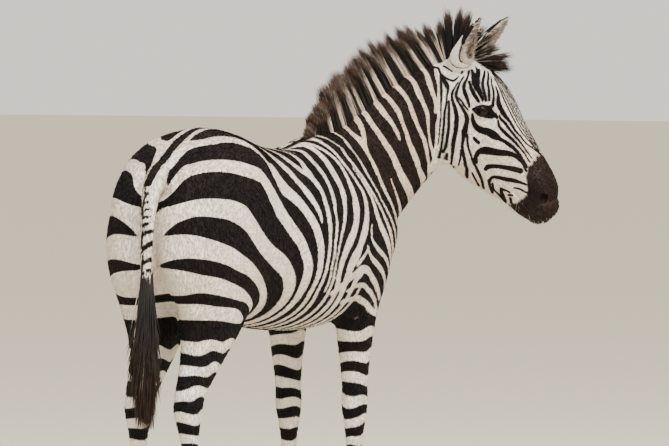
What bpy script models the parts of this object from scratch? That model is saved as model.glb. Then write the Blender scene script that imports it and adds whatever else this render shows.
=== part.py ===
"""A plains zebra standing still with its head turned to the right, as a life-size museum model.

Metres, +Z up, +X forward along the trunk, +Y to the animal's left, with the soles at Z = 0.
The flesh is one field of distances, built from stations and muscle masses, and is cut into
trunk, neck, head, tail and legs. Hooves, eyes, ears and hair are bodies of their own. The
surface is the outside of the coat.
"""

import math

import bmesh
import bpy
import numpy as np
import openvdb
from mathutils import Matrix, Vector

OBJECT = "Zebra"
GAP = 0.0004  # clearance between bodies that touch
BODY_CELL = 0.012  # grid that the flesh is sampled on
BODY_TRIANGLES = 5400
EAR_CELL = 0.004
EAR_TRIANGLES = 300

# The animal as a field of distances, in metres.
# X runs forward along the trunk, Y to the animal's left and Z up. The ground is Z = 0.
UP = np.array([0.0, 0.0, 1.0])
FAR = 9.0  # a distance that is never the nearest
MARGIN = 0.10  # how far round a form's box its distance is measured


def unit(vector):
    """The vector at length 1."""
    return np.asarray(vector, float) / np.linalg.norm(vector)


def smooth_rows(rows, count):
    """Catmull-Rom samples through a table of stations."""
    rows = np.asarray(rows, float)
    held = np.vstack([2 * rows[0] - rows[1], rows, 2 * rows[-1] - rows[-2]])
    at = np.linspace(0, len(rows) - 1, count)
    first = np.minimum(at.astype(int), len(rows) - 2)
    t = (at - first)[:, None]
    a, b, c, d = (held[first + k] for k in range(4))
    return b + 0.5 * t * (c - a + t * (2 * a - 5 * b + 4 * c - d + t * (3 * (b - c) + d - a)))


def blend(a, b, reach):
    """Union of two distances, filled in over the given reach where they meet."""
    near = np.clip(0.5 + 0.5 * (b - a) / reach, 0, 1)
    return b + (a - b) * near - reach * near * (1 - near)


def carve(a, b, reach):
    """The first distance with the second shape taken away, its edge rounded."""
    return -blend(-a, b, reach)


def add(found, points, form, low, high, reach):
    """Blends a form into the distances found, measuring it only round its own box."""
    inside = np.all((points > np.asarray(low) - MARGIN) & (points < np.asarray(high) + MARGIN), axis=1)
    found[inside] = blend(found[inside], form(points[inside]), reach)
    return found


def section(side, rise, width, up, down, pinch, over):
    """Distance to an egg-shaped section: narrower above than below where pinch is positive."""
    reach = np.where(rise > 0, up, down)
    width = width * (1 - pinch * np.clip(rise / reach, -1, 1))
    ends = np.minimum(width, reach)
    near = np.sqrt((side / width) ** 2 + (rise / reach) ** 2 + (over / ends) ** 2)
    slope = np.sqrt((side / width**2) ** 2 + (rise / reach**2) ** 2 + (over / ends**2) ** 2)
    return near * (near - 1) / np.maximum(slope, 1e-4)


def straight(points, rows):
    """A body along its own first axis. Rows: along, top, widest height, bottom, half width, pinch."""
    dense = smooth_rows(rows, 160)
    along = np.clip(points[:, 0], dense[0, 0], dense[-1, 0])
    top, height, low, width, pinch = (np.interp(along, dense[:, 0], c) for c in dense.T[1:])
    over = points[:, 0] - along
    return section(points[:, 1], points[:, 2] - height, width, top - height, height - low, pinch, over)


def tube(points, rows, count, across=None):
    """A body along a bent line. Rows: x, y, z, half width, up, down, pinch."""
    dense = smooth_rows(rows, count)
    found = np.full(len(points), FAR)
    for a, b in zip(dense, dense[1:]):
        length = np.linalg.norm(b[:3] - a[:3])
        axis = (b[:3] - a[:3]) / length
        side = unit(np.cross(UP, axis)) if across is None else np.asarray(across, float)
        rise = unit(np.cross(axis, side))
        side = np.cross(rise, axis)
        offset = points - a[:3]
        along = offset @ axis
        t = np.clip(along / length, 0, 1)
        width, up, down, pinch = (a[k] + (b[k] - a[k]) * t for k in range(3, 7))
        d = section(offset @ side, offset @ rise, width, up, down, pinch, along - t * length)
        found = np.minimum(found, d)
    return found


def mass(points, centre, radii, pitch=0.0, yaw=0.0):
    """A muscle or bone end: an ellipsoid, nose-down by pitch and turned out by yaw, in degrees."""
    p, y = math.radians(pitch), math.radians(yaw)
    local = points - np.asarray(centre)
    x = local[:, 0] * math.cos(y) + local[:, 1] * math.sin(y)
    side = local[:, 1] * math.cos(y) - local[:, 0] * math.sin(y)
    ahead = x * math.cos(p) - local[:, 2] * math.sin(p)
    rise = x * math.sin(p) + local[:, 2] * math.cos(p)
    q = np.stack([ahead, side, rise], 1)
    radii = np.asarray(radii)
    near = np.sqrt(((q / radii) ** 2).sum(1))
    slope = np.sqrt(((q / radii**2) ** 2).sum(1))
    return near * (near - 1) / np.maximum(slope, 1e-4)


def folded(points):
    """The points with both sides laid on the left one."""
    return points * [1, 0, 1] + np.abs(points) * [0, 1, 0]


# Trunk stations: x, topline, height of the widest place, underline, half width, pinch
TRUNK = [
    (-0.575, 1.085, 1.020, 0.950, 0.030, 0.00),
    (-0.555, 1.170, 1.025, 0.870, 0.085, 0.00),
    (-0.510, 1.222, 1.030, 0.800, 0.150, 0.00),
    (-0.420, 1.266, 1.050, 0.755, 0.192, 0.02),
    (-0.320, 1.285, 1.050, 0.728, 0.205, 0.05),
    (-0.200, 1.268, 1.010, 0.712, 0.220, 0.08),
    (-0.080, 1.238, 0.970, 0.694, 0.248, 0.08),
    (0.040, 1.220, 0.945, 0.680, 0.264, 0.08),
    (0.160, 1.214, 0.935, 0.672, 0.262, 0.12),
    (0.270, 1.224, 0.940, 0.674, 0.240, 0.20),
    (0.370, 1.240, 0.960, 0.692, 0.208, 0.28),
    (0.460, 1.236, 0.980, 0.725, 0.180, 0.28),
    (0.550, 1.180, 0.990, 0.785, 0.150, 0.15),
    (0.630, 1.085, 0.980, 0.860, 0.095, 0.00),
]
# Muscles that show on each side: centre, radii, pitch, yaw, blend
MUSCLES = [
    ((-0.350, 0.095, 1.090), (0.210, 0.122, 0.155), -6, 0, 0.06),  # croup
    ((-0.535, 0.078, 0.985), (0.108, 0.092, 0.190), 10, 0, 0.05),  # buttock
    ((0.410, 0.075, 1.080), (0.085, 0.075, 0.130), -20, 0, 0.06),  # shoulder blade
    ((0.500, 0.115, 0.975), (0.120, 0.075, 0.130), 30, 0, 0.05),  # point of shoulder
    ((0.400, 0.130, 0.870), (0.105, 0.070, 0.115), -30, 0, 0.05),  # triceps
    ((0.585, 0.070, 0.915), (0.072, 0.076, 0.105), 0, 0, 0.06),  # breast
]


def trunk_field(points):
    """Trunk with the muscles that show on it."""
    p = folded(points)
    d = straight(p, TRUNK)
    for centre, radii, pitch, yaw, reach in MUSCLES:
        d = blend(d, mass(p, centre, radii, pitch, yaw), reach)
    return d


# Neck stations: forward along its path, height of the axis, half width, up, down, pinch
NECK_START = 0.36  # where the neck's path begins, on the trunk's line
NECK_TURN = -48.0  # degrees turned to the left by the poll
NECK = [
    (0.000, 1.000, 0.165, 0.215, 0.240, 0.34),
    (0.130, 1.055, 0.142, 0.196, 0.235, 0.38),
    (0.250, 1.115, 0.117, 0.178, 0.215, 0.38),
    (0.370, 1.183, 0.100, 0.162, 0.192, 0.34),
    (0.490, 1.258, 0.090, 0.148, 0.168, 0.28),
    (0.600, 1.325, 0.084, 0.136, 0.150, 0.20),
    (0.680, 1.372, 0.078, 0.108, 0.126, 0.10),
]


def neck_rows():
    """The neck's stations placed along its path, which turns faster towards the poll."""
    length = NECK[-1][0]
    steps = np.linspace(0, length, 120)
    heading = math.radians(NECK_TURN) * (steps / length) ** 2
    step = steps[1]
    x = NECK_START + np.concatenate([[0], np.cumsum(np.cos(heading[:-1]) * step)])
    y = np.concatenate([[0], np.cumsum(np.sin(heading[:-1]) * step)])
    return [(np.interp(s, steps, x), np.interp(s, steps, y), *rest) for s, *rest in NECK]


POLL = np.array([1.020, -0.216, 1.511])  # the head frame's origin, between the ears
HEAD_YAW, HEAD_PITCH = -81.0, 56.0  # degrees left of the trunk's line, and nose down
_yaw, _pitch = math.radians(HEAD_YAW), math.radians(HEAD_PITCH)
HEADING = np.array([math.cos(_yaw), math.sin(_yaw), 0.0])
HEAD_ALONG = HEADING * math.cos(_pitch) - UP * math.sin(_pitch)
HEAD_UP = HEADING * math.sin(_pitch) + UP * math.cos(_pitch)
HEAD_LEFT = np.cross(HEAD_UP, HEAD_ALONG)
HEAD_TURN = np.stack([HEAD_ALONG, HEAD_LEFT, HEAD_UP])  # rows: along, left, up


def to_head(points):
    """World points in the head's frame: from poll to nose, to the left, out of the forehead."""
    return (points - POLL) @ HEAD_TURN.T


def from_head(points):
    """The head frame's points in the world."""
    return np.asarray(points) @ HEAD_TURN + POLL


# Skull stations along the face: along, top, height of the widest place, bottom, half width, pinch
SKULL = [
    (0.015, -0.046, -0.110, -0.175, 0.044, 0.00),
    (0.030, -0.020, -0.100, -0.205, 0.074, 0.10),
    (0.090, 0.006, -0.082, -0.235, 0.084, -0.02),
    (0.150, 0.017, -0.072, -0.255, 0.088, -0.16),
    (0.205, 0.016, -0.072, -0.268, 0.086, -0.22),
    (0.270, 0.008, -0.083, -0.268, 0.070, -0.13),
    (0.335, 0.003, -0.089, -0.248, 0.060, -0.05),
    (0.400, -0.001, -0.089, -0.215, 0.054, 0.00),
    (0.455, -0.004, -0.087, -0.186, 0.053, 0.00),
    (0.500, -0.013, -0.089, -0.168, 0.051, 0.00),
    (0.532, -0.036, -0.095, -0.154, 0.042, 0.00),
]
EYE = np.array([0.193, 0.079, -0.067])  # the left eye's centre, in the head's frame
EYE_RADIUS = 0.0235


def head_field(points):
    """Skull, jaw, brow and muzzle, without the ears."""
    p = folded(to_head(points))
    d = straight(p, SKULL)
    d = blend(d, mass(p, (0.195, 0.050, -0.175), (0.112, 0.034, 0.100), pitch=10), 0.030)
    d = blend(d, mass(p, (0.170, 0.070, -0.040), (0.052, 0.024, 0.024), pitch=6), 0.020)
    d = blend(d, mass(p, (0.270, 0.060, -0.098), (0.090, 0.014, 0.016), pitch=4, yaw=-12), 0.022)
    d = blend(d, mass(p, (0.485, 0.038, -0.060), (0.040, 0.022, 0.036), pitch=30), 0.022)
    d = blend(d, mass(p, (0.514, 0.000, -0.092), (0.038, 0.046, 0.046)), 0.022)
    d = blend(d, mass(p, (0.490, 0.000, -0.143), (0.044, 0.036, 0.025), pitch=-6), 0.016)
    return d


# The left ear in the head's frame: where it stands, where it points and where it opens
EAR_BASE = np.array([0.036, 0.063, -0.060])
EAR_AXIS = unit([-0.36, 0.43, 0.83])
# Both ears listen a little to the right: the left one opens inwards, and the right one ahead
EAR_FRONTS = [unit(np.cross(np.cross(EAR_AXIS, [0.62, out, 0.60]), EAR_AXIS)) for out in (-0.10, 0.16)]
# Along the ear: half width and half depth
EAR = [
    (-0.040, 0.031, 0.030),
    (0.000, 0.038, 0.037),
    (0.035, 0.044, 0.038),
    (0.070, 0.046, 0.034),
    (0.105, 0.042, 0.028),
    (0.140, 0.034, 0.021),
    (0.168, 0.023, 0.014),
    (0.188, 0.010, 0.008),
]
# Along its hollow: how far forward it lies, half width and half depth
EAR_HOLLOW = [
    (0.030, 0.010, 0.018, 0.014),
    (0.060, 0.016, 0.034, 0.026),
    (0.095, 0.017, 0.037, 0.028),
    (0.130, 0.015, 0.030, 0.023),
    (0.162, 0.013, 0.018, 0.016),
    (0.186, 0.013, 0.005, 0.006),
]


def ear_place(points):
    """Points seen from their own ear: along it from base to tip, across it, and out of its hollow."""
    local = to_head(points)
    left = local[:, 1] > 0
    local = folded(local) - EAR_BASE
    side, rise = (
        np.where(left, local @ one, local @ other)
        for one, other in (np.cross(EAR_FRONTS, EAR_AXIS), EAR_FRONTS)
    )
    return local @ EAR_AXIS, side, rise


def ear_field(points):
    """Both ears: leaf-shaped cones with a hollow that opens to the front."""
    along, side, rise = ear_place(points)
    found = []
    for rows in (EAR, EAR_HOLLOW):
        dense = smooth_rows(rows, 60)
        height = np.clip(along, dense[0, 0], dense[-1, 0])
        *shift, width, depth = (np.interp(height, dense[:, 0], c) for c in dense.T[1:])
        lift = rise - (shift[0] if shift else 0)
        found.append(section(side, lift, width, depth, depth, 0.0, along - height))
    return carve(*found, 0.004)


# Leg stations: height, back edge, front edge, half width, distance from the middle
HIND = [
    (1.060, -0.575, -0.230, 0.092, 0.098),
    (0.960, -0.610, -0.215, 0.098, 0.102),
    (0.860, -0.612, -0.220, 0.092, 0.100),
    (0.770, -0.590, -0.240, 0.080, 0.095),
    (0.700, -0.568, -0.288, 0.068, 0.090),
    (0.640, -0.565, -0.348, 0.057, 0.087),
    (0.580, -0.579, -0.412, 0.048, 0.086),
    (0.520, -0.601, -0.474, 0.042, 0.086),
    (0.470, -0.603, -0.500, 0.041, 0.087),
    (0.420, -0.585, -0.515, 0.034, 0.090),
    (0.350, -0.572, -0.520, 0.025, 0.095),
    (0.250, -0.568, -0.515, 0.023, 0.101),
    (0.180, -0.568, -0.506, 0.026, 0.105),
    (0.135, -0.564, -0.488, 0.031, 0.107),
    (0.095, -0.538, -0.470, 0.028, 0.109),
    (0.055, -0.525, -0.440, 0.036, 0.111),
    (0.030, -0.520, -0.430, 0.038, 0.112),
]
FORE = [
    (0.960, 0.320, 0.560, 0.070, 0.112),
    (0.860, 0.320, 0.565, 0.076, 0.115),
    (0.780, 0.336, 0.538, 0.070, 0.116),
    (0.700, 0.354, 0.510, 0.060, 0.116),
    (0.600, 0.372, 0.488, 0.049, 0.116),
    (0.510, 0.384, 0.480, 0.040, 0.116),
    (0.440, 0.386, 0.480, 0.040, 0.116),
    (0.390, 0.396, 0.470, 0.034, 0.116),
    (0.320, 0.402, 0.462, 0.025, 0.116),
    (0.230, 0.402, 0.460, 0.023, 0.116),
    (0.170, 0.402, 0.464, 0.026, 0.117),
    (0.130, 0.404, 0.476, 0.031, 0.117),
    (0.095, 0.424, 0.490, 0.028, 0.118),
    (0.055, 0.440, 0.522, 0.036, 0.119),
    (0.030, 0.444, 0.532, 0.038, 0.120),
]
# Each leg: stations, side, how far ahead its foot stands
LEGS = {
    "foreleg_left": (FORE, 1, 0.020),
    "foreleg_right": (FORE, -1, -0.020),
    "hindleg_left": (HIND, 1, 0.030),
    "hindleg_right": (HIND, -1, -0.030),
}
ELBOW = 0.80  # the legs swing from about this height


def leg_line(name, heights):
    """A leg at each height: back edge, front edge, half width and middle plane."""
    stations, side, stride = LEGS[name]
    dense = smooth_rows(stations, 120)[::-1]
    back, front, width, out = (np.interp(heights, dense[:, 0], c) for c in dense.T[1:])
    shift = stride * np.clip((ELBOW - heights) / ELBOW, 0, 1)
    return back + shift, front + shift, width, side * out


def leg_field(points, name):
    """One leg, from its stations: level sections between a back and a front edge."""
    stations = LEGS[name][0]
    height = np.clip(points[:, 2], stations[-1][0], stations[0][0])
    back, front, width, y = leg_line(name, height)
    half = (front - back) / 2
    over = points[:, 2] - height
    return section(points[:, 1] - y, points[:, 0] - (back + front) / 2, width, half, half, 0.0, over)


TAIL = [
    (-0.500, 0.000, 1.165, 0.060, 0.050, 0.050, 0.0),
    (-0.578, -0.003, 1.148, 0.040, 0.036, 0.036, 0.0),
    (-0.632, -0.008, 1.108, 0.031, 0.027, 0.027, 0.0),
    (-0.664, -0.012, 1.035, 0.025, 0.022, 0.022, 0.0),
    (-0.673, -0.012, 0.930, 0.021, 0.019, 0.019, 0.0),
    (-0.678, -0.012, 0.830, 0.017, 0.016, 0.016, 0.0),
]


def body_field(points):
    """The whole animal but its mane, ears and hooves."""
    d = np.full(len(points), FAR)
    d = add(d, points, trunk_field, (-0.70, -0.30, 0.60), (0.70, 0.30, 1.32), 0.01)
    neck = neck_rows()
    d = add(d, points, lambda p: tube(p, neck, 14), (0.20, -0.40, 0.70), (1.10, 0.20, 1.60), 0.07)
    d = add(d, points, head_field, (0.80, -0.70, 0.85), (1.25, 0.15, 1.60), 0.03)
    for name in LEGS:
        side, y = LEGS[name][1], 0.11
        low = (-0.70 if "hind" in name else 0.25, side * y - 0.14, 0.0)
        high = (-0.15 if "hind" in name else 0.60, side * y + 0.14, 1.10)
        d = add(d, points, lambda p: leg_field(p, name), low, high, 0.05)
    return add(d, points, lambda p: tube(p, TAIL, 12, (0, 1, 0)), (-0.75, -0.06, 0.80), (-0.50, 0.06, 1.22), 0.02)


def level_mesh(field, low, high, cell, level=0.0, coarse=4, real=lambda q: q):
    """Quads of the surface where the field is level. Only cells near it are measured finely."""
    low = np.asarray(low, float)
    blocks = np.ceil((np.asarray(high) - low) / (cell * coarse)).astype(int) + 1
    corner = np.stack(np.meshgrid(*(np.arange(n) for n in blocks), indexing="ij"), -1).reshape(-1, 3)
    middle = low + (corner + 0.5) * cell * coarse
    rough = field(real(middle)) - level
    grid = np.repeat(np.repeat(np.repeat(rough.reshape(blocks), coarse, 0), coarse, 1), coarse, 2)
    grid = grid.astype(np.float32)
    near = corner[np.abs(rough) < cell * coarse * 1.6 + 0.02]
    steps = np.stack(np.meshgrid(*(np.arange(coarse),) * 3, indexing="ij"), -1).reshape(-1, 3)
    fine = (near[:, None, :] * coarse + steps).reshape(-1, 3)
    grid[tuple(fine.T)] = field(real(low + fine * cell)) - level
    volume = openvdb.FloatGrid(1.0)
    volume.copyFromArray(np.clip(grid, -1, 1))
    points, quads = volume.convertToQuads(0.0)
    return real(low + points * cell), quads


# Cuts through the flesh: centre, normal, half length down the cut, half width
TURN = HEAD_TURN.T
SLABS = [
    ((0.545, 0.0, 1.09), (0.812, 0.0, 0.584), 0.30, 0.34),  # neck from trunk
    (POLL - 0.12 * HEADING - 0.14 * UP, (0.66, -0.72, 0.20), 0.28, 0.20),  # head from neck
    ((-0.672, -0.012, 0.965), (0.06, 0.0, 0.99), 0.030, 0.034),  # tail from trunk
]
FORE_CUT, HIND_CUT = 0.655, 0.680  # heights of the level cuts through the legs
# Coronet: height at the hoof's middle, and how steeply it drops to the heel
CORONET, CORONET_DROP = 0.060, 0.32
# Sole: how far it reaches past the coronet to the front and to the sides
TOE, FLARE = 0.030, 0.008
# The mane along the neck's path: place, hair length, half thickness
MANE = [
    (0.060, 0.030, 0.012),
    (0.120, 0.085, 0.016),
    (0.200, 0.120, 0.019),
    (0.300, 0.142, 0.021),
    (0.400, 0.148, 0.022),
    (0.500, 0.146, 0.022),
    (0.600, 0.140, 0.022),
    (0.660, 0.134, 0.022),
]
# Its last part, over the head: along, left, height, hair length, lean to the front, half thickness
FORELOCK = [
    (-0.008, -0.006, -0.050, 0.130, -0.70, 0.022),
    (0.016, 0.000, -0.034, 0.118, -0.10, 0.022),
    (0.034, 0.000, -0.027, 0.114, 0.30, 0.021),
    (0.048, 0.000, -0.022, 0.110, 0.65, 0.018),
    (0.058, 0.000, -0.019, 0.090, 0.95, 0.012),
]
HAIR_STEPS = 26
MANE_ENDS = 17  # the ring where the mane ends and the forelock starts
TAIL_SIDE = -0.012  # the tail hangs a little to the right
# The tail's tuft: x, z, half width, half depth
TUFT = [
    (-0.675, 0.905, 0.023, 0.021),
    (-0.679, 0.860, 0.029, 0.026),
    (-0.685, 0.780, 0.037, 0.033),
    (-0.689, 0.680, 0.043, 0.037),
    (-0.689, 0.580, 0.041, 0.035),
    (-0.686, 0.490, 0.030, 0.026),
    (-0.680, 0.420, 0.010, 0.009),
]
# Materials: colour and roughness
COAT = ((0.42, 0.38, 0.33), 0.65)
HAIR = ((0.10, 0.07, 0.05), 0.7)
EYE_BROWN = ((0.02, 0.012, 0.01), 0.08)
HOOF = ((0.06, 0.05, 0.045), 0.45)


def clear_scene():
    """Removes every object of the startup scene."""
    for obj in list(bpy.data.objects):
        bpy.data.objects.remove(obj)


def new_collection(name, hidden=False):
    """A collection in the scene; cutters go in one that isn't rendered."""
    collection = bpy.data.collections.new(name)
    bpy.context.scene.collection.children.link(collection)
    collection.hide_render = hidden
    return collection


def add_object(name, mesh, collection, look=None):
    """An object with a material of its own."""
    obj = bpy.data.objects.new(name, mesh)
    collection.objects.link(obj)
    if look:
        colour, roughness = look
        material = bpy.data.materials.new(name)
        material.use_nodes = True
        shader = material.node_tree.nodes["Principled BSDF"]
        shader.inputs["Base Color"].default_value = (*colour, 1.0)
        shader.inputs["Roughness"].default_value = roughness
        mesh.materials.clear()
        mesh.materials.append(material)
        mesh.shade_smooth()
    return obj


def add_helper(name, mesh):
    """A cutter, left out of the model."""
    obj = add_object(name, mesh, CUTTERS)
    obj.hide_render = True
    obj.display_type = "WIRE"
    return obj


def mesh_from(name, points, faces):
    """A mesh whose faces point outwards."""
    mesh = bpy.data.meshes.new(name)
    mesh.from_pydata(np.asarray(points).tolist(), [], np.asarray(faces).tolist())
    work = bmesh.new()
    work.from_mesh(mesh)
    bmesh.ops.recalc_face_normals(work, faces=work.faces)
    work.to_mesh(mesh)
    work.free()
    return mesh


def evaluated(obj, name):
    """The object's mesh with its modifiers applied."""
    graph = bpy.context.evaluated_depsgraph_get()
    mesh = bpy.data.meshes.new_from_object(obj.evaluated_get(graph))
    mesh.name = name
    return mesh


def thinned(obj, triangles, name):
    """The object's mesh collapsed to about this many triangles."""
    modifier = obj.modifiers.new("Thin", "DECIMATE")
    modifier.ratio = triangles / (2 * len(obj.data.polygons))
    modifier.use_collapse_triangulate = True
    mesh = evaluated(obj, name)
    bpy.data.objects.remove(obj)
    return mesh


def cut(obj, cutter):
    """Takes the cutter out of the object."""
    modifier = obj.modifiers.new("Cut", "BOOLEAN")
    modifier.operation = "DIFFERENCE"
    modifier.solver = "EXACT"
    modifier.object = cutter


def loft(rings, name):
    """A closed body through rings of points, capped at both ends."""
    count, size = len(rings), len(rings[0])
    points = np.concatenate(rings)
    faces = [
        [k * size + j, k * size + (j + 1) % size, (k + 1) * size + (j + 1) % size, (k + 1) * size + j]
        for k in range(count - 1)
        for j in range(size)
    ]
    caps = [list(range(size))[::-1], list(range((count - 1) * size, count * size))]
    mesh = bpy.data.meshes.new(name)
    mesh.from_pydata(points.tolist(), [], faces + caps)
    work = bmesh.new()
    work.from_mesh(mesh)
    bmesh.ops.triangulate(work, faces=work.faces)
    bmesh.ops.recalc_face_normals(work, faces=work.faces)
    work.to_mesh(mesh)
    work.free()
    return mesh


def box_between(work, centre, axes, halves):
    """Adds a box to a bmesh, along three axes."""
    turn = Matrix([list(a) for a in np.array(axes)]).transposed().to_4x4()
    place = Matrix.Translation(Vector(centre)) @ turn @ Matrix.Diagonal((*(2 * h for h in halves), 1.0))
    bmesh.ops.create_cube(work, size=1.0, matrix=place)


def foot(name):
    """A hoof's middle and half size at the coronet."""
    back, front, width, y = leg_line(name, np.array([CORONET]))
    return float(back[0] + front[0]) / 2, float(y[0]), float(front[0] - back[0]) / 2, float(width[0])


def flesh_cutter():
    """Thin slabs between the bodies, a box below each coronet, and a socket for each eye."""
    work = bmesh.new()
    for centre, normal, length, width in SLABS:
        normal = unit(normal)
        side = unit(np.cross(UP, normal))
        down = np.cross(normal, side)
        box_between(work, centre, (normal, side, down), (GAP / 2, width, length))
    for name in LEGS:
        x, y, half, _ = foot(name)
        fore = "fore" in name
        level = FORE_CUT if fore else HIND_CUT
        middle, reach = (0.43, 0.16) if fore else (-0.43, 0.24)
        box_between(work, (middle, y, level), np.eye(3), (reach, abs(y) - 0.005, GAP / 2))
        slope = unit([1.0, 0.0, CORONET_DROP])
        rise = np.cross(slope, [0.0, 1.0, 0.0])
        below = np.array([x, y, CORONET]) - rise * 0.04
        box_between(work, below, (slope, [0.0, 1.0, 0.0], rise), (half + 0.05, 0.065, 0.04))
    for side in (1, -1):
        add_eyeball(work, side, EYE_RADIUS + GAP)
    mesh = bpy.data.meshes.new("flesh_cutter")
    work.to_mesh(mesh)
    work.free()
    return add_helper("flesh_cutter", mesh)


def add_eyeball(work, side, radius):
    """Adds an eye's sphere to a bmesh, its pole pointing out of the head."""
    turn = Matrix([list(row) for row in HEAD_TURN]).transposed().to_4x4()
    place = Matrix.Translation(Vector(from_head(EYE * [1, side, 1])))
    facing = turn @ Matrix.Rotation(math.radians(-90 * side), 4, "X")
    bmesh.ops.create_uvsphere(work, u_segments=14, v_segments=9, radius=radius, matrix=place @ facing)


def build_flesh():
    """The whole flesh as one mesh, thinned, before it is cut."""
    points, quads = level_mesh(body_field, (-0.85, -0.80, -0.02), (1.30, 0.40, 1.70), BODY_CELL)
    whole = add_object("flesh_fine", mesh_from("flesh_fine", points, quads), CUTTERS)
    return thinned(whole, BODY_TRIANGLES, "flesh")


def clearance(mesh):
    """A copy of the flesh grown by the gap, which cuts what stands on it."""
    grown = add_helper("clearance", mesh.copy())
    modifier = grown.modifiers.new("Grow", "DISPLACE")
    modifier.strength = 1.5 * GAP
    modifier.mid_level = 0.0
    return grown


def place_name(centre):
    """Which body a piece of the cut flesh is, by where its middle lies."""
    x, y, z = centre
    if z < HIND_CUT - 0.1:
        return f"{'foreleg' if x > 0 else 'hindleg'}_{'left' if y > 0 else 'right'}"
    if x < -0.62:
        return "tail_dock"
    if x < 0.45:
        return "trunk"
    return "head" if y < -0.20 else "neck"


def split_flesh(flesh):
    """One object for each piece that the cuts leave."""
    whole = add_object("flesh_cut", flesh, CUTTERS)
    cut(whole, flesh_cutter())
    mesh = evaluated(whole, "flesh_cut")
    bpy.data.objects.remove(whole)
    work = bmesh.new()
    work.from_mesh(mesh)
    bmesh.ops.triangulate(work, faces=work.faces)
    work.verts.ensure_lookup_table()
    left = set(work.verts)
    while left:
        piece, front = set(), [next(v for v in work.verts if v in left)]
        while front:
            vert = front.pop()
            if vert not in piece:
                piece.add(vert)
                front += [edge.other_vert(vert) for edge in vert.link_edges]
        left -= piece
        order = {vert: k for k, vert in enumerate(sorted(piece, key=lambda v: v.index))}
        points = [tuple(vert.co) for vert in order]
        faces = [[order[v] for v in face.verts] for face in work.faces if face.verts[0] in piece]
        name = place_name(np.mean(points, axis=0))
        part = bpy.data.meshes.new(name)
        part.from_pydata(points, [], faces)
        add_object(name, part, PARTS, COAT)
    work.free()


def build_eyes():
    """Both eyeballs."""
    for name, side in (("eye_left", 1), ("eye_right", -1)):
        work = bmesh.new()
        add_eyeball(work, side, EYE_RADIUS)
        mesh = bpy.data.meshes.new(name)
        work.to_mesh(mesh)
        work.free()
        add_object(name, mesh, PARTS, EYE_BROWN)


def build_ears(grown):
    """Both ears, from their own fine grid."""
    reach = 0.14
    for name, side in (("ear_left", 1), ("ear_right", -1)):
        middle = from_head((EAR_BASE + EAR_AXIS * 0.075) * [1, side, 1])
        points, quads = level_mesh(
            lambda q: np.maximum(ear_field(q), -side * to_head(q)[:, 1]),
            middle - reach,
            middle + reach,
            EAR_CELL,
        )
        fine = add_object(name + "_fine", mesh_from(name, points, quads), CUTTERS)
        ear = add_object(name, thinned(fine, EAR_TRIANGLES, name), PARTS, COAT)
        cut(ear, grown)


def build_hooves():
    """Four hooves: a tilted coronet above, a wider flat sole below."""
    for name in LEGS:
        x, y, half, width = foot(name)
        work = bmesh.new()
        bmesh.ops.create_cone(work, cap_ends=True, segments=22, radius1=1, radius2=1, depth=1)
        for vert in work.verts:
            ahead, side, top = vert.co.x, vert.co.y, vert.co.z > 0
            if top:
                px, py = half * ahead, (width + 0.002) * side
                vert.co = (x + px, y + py, CORONET + CORONET_DROP * px - GAP)
            else:
                px = half * ahead + (TOE if ahead > 0 else 0.006) * ahead
                vert.co = (x + 0.004 + px, y + (width + FLARE) * side, 0.0)
        bmesh.ops.triangulate(work, faces=work.faces)
        mesh = bpy.data.meshes.new("hoof")
        work.to_mesh(mesh)
        work.free()
        end = name.replace("foreleg", "fore").replace("hindleg", "hind")
        add_object("hoof_" + end, mesh, PARTS, HOOF)


def crest(place):
    """The top of the neck at a place along its path: point, direction out, direction to the side."""
    rows = smooth_rows(neck_rows(), 90)
    stations = smooth_rows([[row[0]] for row in NECK], 90)[:, 0]
    at, behind, ahead = (
        np.array([np.interp(s, stations, column) for column in rows.T])
        for s in (place, place - 0.03, place + 0.03)
    )
    axis = unit(ahead[:3] - behind[:3])
    side = unit(np.cross(UP, axis))
    rise = np.cross(axis, side)
    return at[:3] + rise * at[4], rise, side


def blade(root, rise, side, length, half):
    """One ring across a ridge of hair: broad at the root, narrow at the tips."""
    outline = [(-0.9, -0.03), (-1.0, 0.35), (-0.45, 1.0), (0.45, 1.0), (1.0, 0.35), (0.9, -0.03)]
    return [root + side * half * across + rise * (length + 0.03) * up for across, up in outline]


def ridge_stations():
    """The ridge of hair from the withers to the forehead: root, direction out, side, length, half."""
    rows = [(*p, *rise, *side, *rest) for s, *rest in MANE for p, rise, side in [crest(s)]]
    for along, left, height, length, lean, half in FORELOCK:
        rise = TURN @ unit([lean, 0.0, 1.0])
        rows.append((*from_head((along, left, height)), *rise, *HEAD_LEFT, length, half))
    return smooth_rows(rows, HAIR_STEPS)


def build_mane(grown):
    """The upright mane, and the forelock that carries it on between the ears."""
    rings = []
    for row in ridge_stations():
        root, rise, side = row[:3], unit(row[3:6]), unit(row[6:9])
        rings.append(blade(root - rise * 0.03, rise, side, *row[9:]))
    forward = unit(rings[MANE_ENDS][0] - rings[MANE_ENDS - 1][0])
    first = [point + forward * GAP for point in rings[MANE_ENDS]]
    for name, part in (("mane", rings[: MANE_ENDS + 1]), ("forelock", [first, *rings[MANE_ENDS + 1 :]])):
        cut(add_object(name, loft(part, name), PARTS, HAIR), grown)


def build_tuft(grown):
    """The long hair at the end of the tail."""
    rings = []
    angles = np.linspace(0, 2 * math.pi, 12, endpoint=False)
    for x, z, width, depth in smooth_rows(TUFT, 12):
        rings.append([(x + depth * math.cos(a), TAIL_SIDE + width * math.sin(a), z) for a in angles])
    tuft = add_object("tail_tuft", loft(np.array(rings), "tail_tuft"), PARTS, HAIR)
    cut(tuft, grown)


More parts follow.
